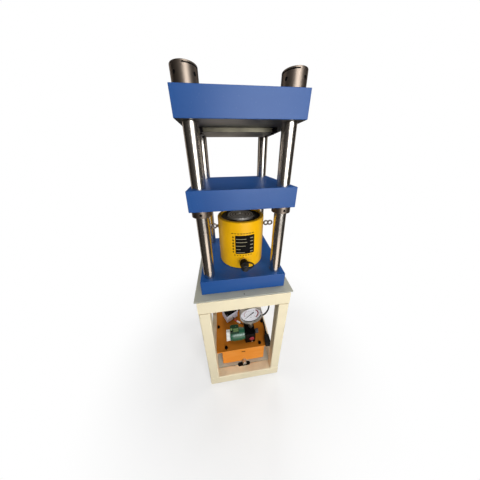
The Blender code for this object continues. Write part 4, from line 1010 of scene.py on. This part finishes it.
def build_tank():
    tank_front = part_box("pump_tank")[0].y
    put("coated_tank", boxed("pump_tank", 0.004, 5), orange, instead=("pump_tank",))
    # Painted shade: the filler slit is a flat dark mark on the tank's front, with no opening cut.
    slit = softened(obround(0.0200, 0.0062, -0.0003, 0.0004), 0.0001, 1)
    put("tank_filler_slit", placed(slit, (-0.0005, tank_front, 0.1490), FRONT_FACING), grime_and_shade)
    put("coated_lid", boxed("pump_lid", 0.0012), orange, instead=("pump_lid",))
    for step, (x, y) in enumerate(LID_SCREWS):
        washer = placed(bar(0.0160, 0, 0.0012, 32), (x, y, LID_TOP))
        screw = socket_screw(0.0130, 0.0075, (x, y, LID_TOP + 0.0012))
        put(f"lid_screw_{step + 1}", joined(washer, screw), black_steel)
    plug = lathe([(0, -0.010), (0.005, -0.010), (0.005, GAP), (0.0100, GAP), (0.0100, 0.0034),
                  (0.0088, 0.0040), (0.0088, 0.0050), (0.0100, 0.0056), (0.0100, 0.0182),
                  (0.0092, 0.0194), (0.0080, 0.0199), (0, 0.0199)], 48)
    plug = carved(plug, prism(hexagon(0.008), 0.014, 0.03))
    plug_at = (0.003, tank_front, middle("pump_drain_plug").z)
    put("drain_plug", placed(plug, plug_at, FRONT_FACING), saddle_steel, instead=("pump_drain_plug",))


VALVE_BLOCK = Vector((0.0415, -0.075, 0.2095))
VALVE_SIZE = Vector((0.053, 0.080, 0.067))
VALVE_TOP = VALVE_BLOCK.z + VALVE_SIZE.z / 2
VALVE_FRONT = VALVE_BLOCK.y - VALVE_SIZE.y / 2
SWITCH = Vector((0.0485, VALVE_FRONT, 0.2100))
SWITCH_LEAN = math.radians(8.0)
KNOB = Vector((VALVE_BLOCK.x + VALVE_SIZE.x / 2, -0.088, 0.2220))
KNOB_ALONG = (0, math.pi / 2, 0)
VALVE_PLUG = Vector((0.051, VALVE_FRONT, 0.1816))
GAUGE_PORT = Vector((0.049, -0.071, VALVE_TOP))


def build_valve_block():
    block = placed(slab(*VALVE_SIZE, 0.0020), VALVE_BLOCK)
    well = placed(bar(0.026, -0.014, 0.01, 56, 0), SWITCH, FRONT_FACING)
    port = placed(bar(0.0126, -0.0103, 0.01, 32, 0), GAUGE_PORT)
    side = placed(bar(0.0086, -0.0123, 0.01, 32, 0), KNOB, KNOB_ALONG)
    plug_well = placed(bar(0.0094, -0.0010, 0.004, 32, 0), VALVE_PLUG, FRONT_FACING)
    bezel = placed(lathe([(0.013, -0.001), (0.0152, -0.001), (0.0152, 0.0009), (0.0147, 0.0015),
                          (0.0139, 0.0016), (0.0130, 0.0010)], 56, True), SWITCH, FRONT_FACING)
    put("valve_block", joined(carved(block, well, port, side, plug_well), bezel), black_steel,
        instead=("pump_valve_block",))
    plug = carved(bar(0.0088, -0.0010, 0.0006, 32), prism(hexagon(0.0042), -0.0004, 0.01))
    put("valve_block_plug", placed(plug, VALVE_PLUG, FRONT_FACING), bright_rim)
    screws = [socket_screw(0.0060, 0.0026, (x, y, VALVE_TOP))
              for x in (0.0215, 0.0615) for y in (-0.1070, -0.0430)]
    put("valve_block_screws", joined(*screws), black_steel)


def build_rocker():
    """The switch's round rocker: two faces that slope from its middle, with a lowered rim."""
    rocker = bmesh.new()
    radius, around, rings = 0.0119, 56, 6
    top, foot = 0.0036, -0.005
    rows = []
    for ring in range(1, rings + 1):
        share = ring / rings
        row = []
        for step in range(around):
            x, y = polar(radius * share, math.tau * step / around)
            lift = top - abs(y) * math.tan(SWITCH_LEAN) - max(share - 0.9, 0) * 0.006
            row.append(rocker.verts.new((x, y, lift)))
        rows.append(row)
    centre = rocker.verts.new((0, 0, top))
    skirt = [rocker.verts.new((vert.co.x, vert.co.y, foot)) for vert in rows[-1]]
    for step in range(around):
        following = (step + 1) % around
        rocker.faces.new((centre, rows[0][step], rows[0][following]))
        for near, far in zip(rows, rows[1:] + [skirt]):
            rocker.faces.new((near[step], far[step], far[following], near[following]))
    rocker.faces.new(skirt[::-1])
    lean = Matrix.Rotation(-SWITCH_LEAN, 3, 'X') @ Matrix.Rotation(math.pi / 2, 3, 'X')
    put("red_rocker", placed(rocker, SWITCH, lean), red_switch, "rocker", ("switch_rocker",))
    on_mark = placed(slab(0.0008, 0.0034, 0.0003, 0), (0, 0.0060, 0.0028), (-SWITCH_LEAN, 0, 0))
    off_mark = lathe([(0.0013, -0.00015), (0.0019, -0.00015), (0.0019, 0.00015),
                      (0.0013, 0.00015)], 24, True)
    off_mark = placed(off_mark, (0, -0.0060, 0.0028), (SWITCH_LEAN, 0, 0))
    put("rocker_marks", placed(joined(on_mark, off_mark), SWITCH, lean), pale_print, "rocker")


def fluted(radius, depth, flutes, steps, sharpness):
    """A round outline with even flutes; a higher sharpness narrows them."""
    outline = []
    for step in range(steps):
        angle = math.tau * step / steps
        share = 0.5 - 0.5 * math.cos(flutes * angle)
        outline.append(polar(radius - depth * share ** sharpness, angle))
    return outline


def build_knob():
    grip = softened(prism(fluted(0.011, 0.0012, 10, 100, 1.4), 0.004, 0.020), 0.0008, 2, 60.0)
    shank = bar(0.008, -0.0117, 0.006, 32)
    face = carved(bar(0.012, 0.0195, 0.0199, 40, 0.0001), bar(0.010, 0.0197, 0.03, 40, 0))
    put("fluted_knob", placed(joined(grip, shank, face), KNOB, KNOB_ALONG), dark_knob, "knob",
        ("release_knob",), 40.0)


build_tank()
build_valve_block()
build_rocker()
build_knob()


# Motor and gauge

MOTOR = Vector((0.015 - GAP, -0.0820, 0.2072))
MOTOR_ALONG = (0, -math.pi / 2, 0)
MOTOR_R = 0.0295


def build_motor():
    outer, bell, length = MOTOR_R, MOTOR_R - 0.002, 0.079
    profile = [(0, 0), (bell - 0.002, 0), (bell - 0.0006, 0.0006), (bell, 0.002), (bell, 0.0132),
               (bell - 0.0007, 0.0138), (outer - 0.0005, 0.0142), (outer, 0.0150), (outer, length - 0.0150),
               (outer - 0.0005, length - 0.0142), (bell - 0.0007, length - 0.0138),
               (bell, length - 0.0132), (bell, length - 0.004), (bell - 0.0012, length - 0.0012),
               (bell - 0.004, length), (0, length)]
    put("motor", placed(lathe(profile, 112), MOTOR, MOTOR_ALONG), green, instead=("pump_motor",))
    cover = prism(fluted(0.025, 0.005, 6, 120, 1.0), length + GAP, length + GAP + 0.020)
    cover = softened(cover, 0.0018, 3, 60.0)
    vents = [placed(bar(0.0034, length + 0.0185, length + 0.03, 16, 0),
                    (*polar(ring, math.tau * step / count), 0))
             for ring, count in ((0.007, 6), (0.0135, 12)) for step in range(count)]
    put("motor_end_cover", placed(carved(cover, joined(*vents)), MOTOR, MOTOR_ALONG), white_case,
        instead=("pump_motor_end_cover",), sharp=45.0)
    build_terminal_box()


def build_terminal_box():
    """A box on the motor with a screwed lid, a bare label and two plugs."""
    low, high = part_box("pump_terminal_box")
    size = high - low
    centre = (low + high) / 2
    lid_thick = 0.0032
    box = slab(size.x - 0.0012, size.y - 0.0012, size.z - lid_thick, 0.0016)
    box = carved(placed(box, centre - Vector((0, 0, lid_thick / 2))),
                 placed(bar(2 * (MOTOR_R + GAP), -0.02, 0.10, 112, 0), MOTOR, MOTOR_ALONG))
    lid = placed(slab(size.x, size.y, lid_thick, 0.0012), (centre.x, centre.y, high.z - lid_thick / 2))
    put("terminal_box", joined(box, lid), dark_green, instead=("pump_terminal_box",))
    label_x = -0.0330
    label = placed(slab(0.0285, 0.0185, 0.0006, 0.0002, 1), (label_x, -0.0855, high.z + 0.0001))
    put("terminal_label", label, olive_plate)
    fields = [placed(slab(0.0250, 0.0050, 0.0003, 0), (label_x, y, high.z + 0.0005))
              for y in (-0.0815, -0.0900)]
    put("terminal_label_fields", joined(*fields), pale_olive)
    round_plug = placed(bar(0.0110, 0, 0.0012, 32, 0.0004), (-0.0572, -0.0800, high.z))
    put("terminal_round_plug", round_plug, pale_olive)
    black_plug = placed(bar(0.0085, 0, 0.0010, 32, 0.0003), (-0.0560, -0.0908, high.z))
    put("terminal_black_plug", black_plug, grime_and_shade)
    screws = [socket_screw(0.0042, 0.0018, (x, y, high.z)) for x, y in
              ((-0.0315, -0.0682), (-0.0600, -0.0600), (-0.0200, -0.0600))]
    put("terminal_screws", joined(*screws), nut_steel)


GAUGE = Vector((0.049, -0.088, 0.346))
GAUGE_R = 0.059
POCKET_R = 0.0555
DIAL_R = 0.0552
DIAL_BACK = 0.012
GLASS_BACK = -0.0082
STEM_LOW = 0.2536
HEXAGON_H = 0.018
NUMBERS_R = 0.0498
INNER_NUMBERS_R = 0.0255


def dial_angle(value):
    """The direction of a reading from 0 to 100, in radians from the dial's right."""
    return math.radians(225.0 - 2.7 * value)


def dial_tick(value, inner, outer, width):
    along = Vector(polar(1.0, dial_angle(value)))
    across = Vector((-along.y, along.x)) * width / 2
    corners = (along * inner - across, along * outer - across,
               along * outer + across, along * inner + across)
    return prism([tuple(corner) for corner in corners], 0.00005, 0.00015)


def dial_arc(start, end, inner, outer):
    steps = 28
    angles = [dial_angle(start + (end - start) * step / steps) for step in range(steps + 1)]
    outline = [polar(outer, angle) for angle in angles] + [polar(inner, angle) for angle in angles[::-1]]
    return prism(outline, 0.00003, 0.00012)


def dial_word(text, size, x, y):
    words = bpy.data.curves.new("word", 'FONT')
    words.body = text
    words.size = size
    words.extrude = 0.00005
    words.align_x = 'CENTER'
    words.align_y = 'CENTER'
    holder = added("word", words)
    bpy.context.view_layer.update()
    mesh = bpy.data.meshes.new_from_object(holder.evaluated_get(bpy.context.evaluated_depsgraph_get()))
    bpy.data.objects.remove(holder, do_unlink=True)
    return placed(reopened(mesh), (x, y, 0.0001))


def build_gauge():
    rim, well = GAUGE_R - 0.0015, DIAL_R - 0.0008
    floor = -DIAL_BACK - 0.0015
    case = lathe([(0, -0.034), (GAUGE_R - 0.0055, -0.034), (GAUGE_R - 0.0027, -0.0332), (rim, -0.031),
                  (rim, -0.0068), (GAUGE_R - 0.0006, -0.0062), (GAUGE_R, -0.0050), (GAUGE_R, -0.0012),
                  (GAUGE_R - 0.0004, -0.0003), (GAUGE_R - 0.0010, 0), (GAUGE_R - 0.0016, -0.0002),
                  (well, -0.0076), (well, GLASS_BACK), (POCKET_R, GLASS_BACK), (POCKET_R, floor),
                  (0.0018, floor), (0.0018, floor - 0.0050), (0, floor - 0.0050)], 128)
    stem = bar(0.014, STEM_LOW, GAUGE.z - POCKET_R - 0.001, 40)
    stem = placed(stem, (GAUGE_PORT.x, GAUGE_PORT.y, 0))
    put("gauge_housing", joined(placed(case, GAUGE, FRONT_FACING), stem), bright_rim,
        instead=("gauge_case",))
    inner = DIAL_R - 0.0014
    ring = lathe([(inner, -0.0115), (DIAL_R, -0.0115), (DIAL_R, -0.0086), (DIAL_R - 0.0010, -0.0083),
                  (inner, -0.0087)], 128, True)
    put("gauge_ring", placed(ring, GAUGE, FRONT_FACING), dial_black, instead=("gauge_bezel",))
    pane_r = DIAL_R - 0.0016
    pane = lathe([(0, GLASS_BACK), (pane_r, GLASS_BACK), (pane_r, -0.0068), (0, -0.0068)], 96)
    put("gauge_glass", placed(pane, GAUGE, FRONT_FACING), glass)
    build_dial()
    fitting = softened(prism(hexagon(0.024), 0, HEXAGON_H), 0.0008, 2)
    fitting = joined(fitting, bar(0.012, -0.010, 0.002, 32))
    put("gauge_hexagon", placed(fitting, GAUGE_PORT + Vector((0, 0, GAP))), dull_steel,
        instead=("gauge_fitting",))
    build_pointer()


def build_dial():
    """The white dial with ticks, plain numbers, a unit and two coloured arcs."""
    face = GAUGE + Vector((0, DIAL_BACK, 0))
    dial = lathe([(0.0018, 0), (DIAL_R, 0), (DIAL_R, -0.0012), (0.0018, -0.0012)], 96, True)
    put("dial_face", placed(dial, face, FRONT_FACING), dial_white, instead=("gauge_dial",))
    marks = []
    for value in range(0, 101, 2):
        inner, width = (0.0425, 0.0009) if value % 10 == 0 else (0.0437, 0.0004)
        marks.append(dial_tick(value, inner, 0.0458, width))
    marks += [dial_tick(value, 0.0300, 0.0318, 0.0005) for value in range(0, 101, 5)]
    for size, ring_r, unit in ((0.0062, NUMBERS_R, 1), (0.0066, INNER_NUMBERS_R, 10)):
        marks += [dial_word(str(value // unit), size, *polar(ring_r, dial_angle(value)))
                  for value in range(0, 101, 20)]
    marks.append(dial_word("MPa", 0.0058, 0, -0.0250))
    put("dial_marks", placed(joined(*marks), face, FRONT_FACING), dial_black)
    put("dial_limit_arc", placed(dial_arc(64, 100, 0.0340, 0.0410), face, FRONT_FACING), dial_red)
    put("dial_low_arc", placed(dial_arc(7, 36, 0.0345, 0.0370), face, FRONT_FACING), dial_pink)


def build_pointer():
    """A tapered needle with its tail and hub; at rest it points at the dial's zero."""
    low = -DIAL_BACK + 0.0008
    side = [(0.041, 0.0006), (0.0035, 0.0017), (-0.0045, 0.0017), (-0.012, 0.0036), (-0.020, 0.0028)]
    outline = side + [(along, -across) for along, across in side[::-1]]
    needle = placed(prism(outline, low, low + 0.0010), (0, 0, 0), (0, 0, dial_angle(0)))
    hub = lathe([(0, low - 0.0060), (0.0014, low - 0.0060), (0.0014, low - 0.0001), (0.0035, low),
                 (0.0035, low + 0.0014), (0.0030, low + 0.0020), (0, low + 0.0020)], 32)
    put("needle", placed(joined(needle, hub), GAUGE, FRONT_FACING), dial_black, "pointer",
        ("gauge_pointer",))


build_motor()
build_gauge()


# Control box, lead, connector and peg

def build_control_box():
    turn = (0, 0, CONTROL_TURN)
    width, depth, height = CONTROL_SIZE
    lid_h = 0.005
    body = placed(slab(width, depth, height, 0.0038, 4), on_control_box(width / 2, depth / 2, height / 2),
                  turn)
    boss = lathe([(0, -0.004), (0.0075, -0.004), (0.0075, 0.0030), (0.0070, 0.0042), (0.0052, 0.0096),
                  (0.0048, LEAD_PORT_L), (0, LEAD_PORT_L)], 36)
    level = Matrix.Rotation(CONTROL_TURN, 3, 'Z') @ Matrix.Rotation(math.pi / 2, 3, 'Y')
    boss = placed(boss, on_control_box(width, LEAD_PORT_IN, LEAD_PORT_RISE), level)
    put("control_box_body", joined(body, boss), lilac_case, instead=("control_box",))
    lid = placed(slab(width + 0.002, depth + 0.002, lid_h, 0.0016, 4),
                 on_control_box(width / 2, depth / 2, height + GAP + lid_h / 2), turn)
    put("control_lid_black", lid, black_case, instead=("control_box_lid",))
    inset = 0.006
    screws = [socket_screw(0.0044, 0.0016, on_control_box(along, across, height + GAP + lid_h))
              for along in (inset, width - inset) for across in (inset, depth - inset)]
    put("control_lid_screws", joined(*screws), dull_steel)
    label = placed(slab(0.0300, 0.0006, 0.0140, 0.0002, 1), on_control_box(0.0210, -0.0002, 0.0340), turn)
    put("control_label", label, white_case)
    build_switch_wire()


def build_switch_wire():
    """A short wire from control box to valve block, with a red and a pale plug on it."""
    start = on_control_box(0.040, 0.0010, 0.0245)
    bends = ((-0.0360, 0.0045, 0.1990), (-0.0290, -0.0005, 0.1985), (-0.0070, -0.0160, 0.1975),
             (0.0130, -0.0285, 0.1970), (0.0225, -0.0340, 0.1965), (0.0250, -0.0352, 0.1960))
    wire = smooth_route([start, start + Vector((0.0045, -0.0088, 0))] + [Vector(bend) for bend in bends],
                        0.002)
    put("switch_wire", swept(wire, 0.0024, 12), rubber)
    for name, first, last, radius, finish in (("red", 0.24, 0.40, 0.0042, red_sheath),
                                              ("pale", 0.40, 0.66, 0.0052, pale_sheath)):
        shell = wire[round(first * len(wire)):round(last * len(wire)) + 1]
        radii = [radius * (0.75 if index in (0, len(shell) - 1) else 1.0) for index in range(len(shell))]
        put(f"switch_plug_{name}", swept(shell, radii, 20), finish)


def build_connector():
    """A moulded connector, tapered towards the lead, with a ribbed neck."""
    narrowed, lowered = 0.78, 0.92
    body = slab(*PLUG_SIZE, 0)
    for vert in body.verts:
        if vert.co.y > 0:
            vert.co.x *= narrowed
            vert.co.z = -PLUG_SIZE.z / 2 + (vert.co.z + PLUG_SIZE.z / 2) * lowered
    body = softened(body, 0.0040, 5)
    neck_r, start, ribbed_l, ribs = 0.007, 0.001, 0.017, 6
    profile = [(0, -0.006), (neck_r, -0.006), (neck_r, start)]
    for step in range(ribs):
        share = step / ribs
        radius = neck_r - 0.0018 * share
        profile += [(radius - groove, start + ribbed_l * (share + reach)) for groove, reach in
                    ((0, 0), (0, 0.09), (0.0009, 0.10), (0.0009, 0.155))]
    profile += [(0.0050, PLUG_NECK_L), (0, PLUG_NECK_L)]
    back = Matrix.Rotation(PLUG_TURN, 3, 'Z') @ Matrix.Rotation(-math.pi / 2, 3, 'X')
    neck = placed(lathe(profile, 36), on_plug(0, PLUG_SIZE.y / 2, 0), back)
    return put("lead_connector_shell", joined(placed(body, PLUG_CENTRE, (0, 0, PLUG_TURN)), neck), rubber,
               instead=("lead_connector",))


def build_peg():
    low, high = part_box("lead_peg")
    thick, pin_d = 0.003, 0.008
    x, y = high.x - thick / 2, (low.y + high.y) / 2
    strap = placed(slab(thick, high.y - low.y, high.z - low.z, 0.0006), (x, y, (low.z + high.z) / 2))
    pin = placed(bar(pin_d, 0, 0.022, 28, 0.0008), (x, y, low.z + pin_d / 2), (0, -math.pi / 2, 0))
    put("peg_and_strap", joined(strap, pin), black_steel, instead=("lead_peg",))


build_control_box()
connector = build_connector()
build_peg()
power_lead.data.materials.append(rubber.material)
settle(power_lead, instead=("power_lead",))
length_of(lead_points)


# Floor, backdrop and light

CARD_REACH = 0.80
CARD_TOP = 2.0
CARDS = (
    ("card_left_near", -62, -4, 0, CARD_TOP, 0.055), ("card_left", -104, -62, 0, CARD_TOP, 0.022),
    ("card_left_bright", -126, -104, 0, CARD_TOP, 0.62), ("card_left_rear", -150, -126, 0, CARD_TOP, 0.030),
    ("card_front_low", -4, 38, 0, 0.50, 1.6),
    ("card_right_near", 38, 70, 0, CARD_TOP, 0.040), ("card_right", 70, 104, 0, CARD_TOP, 0.018),
    ("card_right_bright", 104, 126, 0, CARD_TOP, 0.62), ("card_right_rear", 126, 150, 0, CARD_TOP, 0.030),
    ("card_back_left", 210, 192, 0, CARD_TOP, 0.030), ("card_back_right", 168, 150, 0, CARD_TOP, 0.030),
    ("card_back_low", 192, 168, 0, 1.05, 0.75), ("card_back_high", 192, 168, 1.05, CARD_TOP, 0.050))
LAMP_AIM = Vector((0, 0, 0.7))
LAMPS = (("front window", (0.60, -2.2, 1.35), (1.5, 2.4), 58.0),
         ("left side", (-1.9, 0.3, 2.6), (1.0, 1.0), 20.0),
         ("right side", (1.9, 0.4, 2.6), (1.0, 1.0), 22.0),
         ("back", (0.3, 2.1, 2.6), (1.6, 1.6), 36.0))


def glow_surface(name, brightness):
    """An even, warm glow."""
    surface = Finish(name, None, {})
    colour = (brightness, brightness * 0.88, brightness * 0.78)
    surface.lay_on("Material Output", surface.node("ShaderNodeEmission", {}, {"Color": colour}))
    return surface.material


def reflection_card(name, start, end, low, high, brightness):
    """A curved card that only reflections meet, from one compass angle to another; 0 is in front."""
    bm = bmesh.new()
    columns = []
    for step in range(25):
        x, y = polar(CARD_REACH, math.radians(start + (end - start) * step / 24 - 90))
        columns.append([bm.verts.new((x, y, low)), bm.verts.new((x, y, high))])
    for first, second in zip(columns, columns[1:]):
        bm.faces.new((first[0], second[0], second[1], first[1]))
    mesh = meshed(name, bm)
    mesh.materials.append(glow_surface(name, brightness))
    card = added(name, mesh)
    for ray in ("camera", "diffuse", "transmission", "shadow", "volume_scatter"):
        setattr(card, f"visible_{ray}", False)


def build_cards():
    """Dark cards all round; the bright ones and the gap above the low front one give bare metal its
    streaks."""
    for card in CARDS:
        reflection_card(*card)


def build_floor():
    """A floor that the camera sees white, with the press's shade on it, and other rays see grey."""
    bm = bmesh.new()
    bmesh.ops.create_circle(bm, cap_ends=True, segments=96, radius=30.0)
    mesh = meshed("floor", bm)
    added("floor", mesh)
    surface = Finish("floor", None, {"Roughness": 0.9, "Specular IOR Level": 0.2})
    seen = surface.node("ShaderNodeLightPath", {}, {}, "Is Camera Ray")
    surface.set(colour=surface.blend(seen, (0.30, 0.29, 0.28), (0.90, 0.90, 0.90)))
    x, y, _ = surface.parts(surface.point)
    far = ((x * x + y * y) ** 0.5).rising(0.30, 0.85)
    glow = surface.node("ShaderNodeEmission", {}, {"Color": (1.0, 1.0, 1.0), "Strength": 1.0})
    mixed = surface.node("ShaderNodeMixShader", {}, {
        0: (far * 0.55 + 0.45) * seen, 1: Signal(surface, surface.shader.outputs[0]), 2: glow})
    surface.lay_on("Material Output", mixed)
    mesh.materials.append(surface.material)


def build_world():
    """A dim white room, which the camera, reflections and what passes through glass see at full."""
    world = bpy.data.worlds.new("studio")
    bpy.context.scene.world = world
    world.use_nodes = True
    room = Nodes(world.node_tree)
    plain = room.tree.nodes["Background"]
    room.feed(plain.inputs["Color"], (1.0, 1.0, 1.0))
    room.feed(plain.inputs["Strength"], 0.06)
    white = room.node("ShaderNodeBackground", {}, {"Color": (1.0, 1.0, 1.0), "Strength": 1.0})
    camera, glossy, passing = (room.node("ShaderNodeLightPath", {}, {}, f"Is {ray} Ray")
                               for ray in ("Camera", "Glossy", "Transmission"))
    either = room.node("ShaderNodeMixShader", {}, {
        0: camera.larger(glossy).larger(passing), 1: Signal(room, plain.outputs[0]), 2: white})
    room.lay_on("World Output", either)


def build_lamps():
    for name, place, size, power in LAMPS:
        lamp = bpy.data.lights.new(name, 'AREA')
        lamp.shape = 'RECTANGLE'
        lamp.size, lamp.size_y = size
        lamp.energy = power
        holder = added(name, lamp)
        holder.location = place
        holder.rotation_euler = (LAMP_AIM - Vector(place)).to_track_quat('-Z', 'Y').to_euler()
        holder.visible_glossy = name == "front window"


build_floor()
build_cards()
build_world()
build_lamps()
bpy.context.scene.view_settings.view_transform = 'Standard'
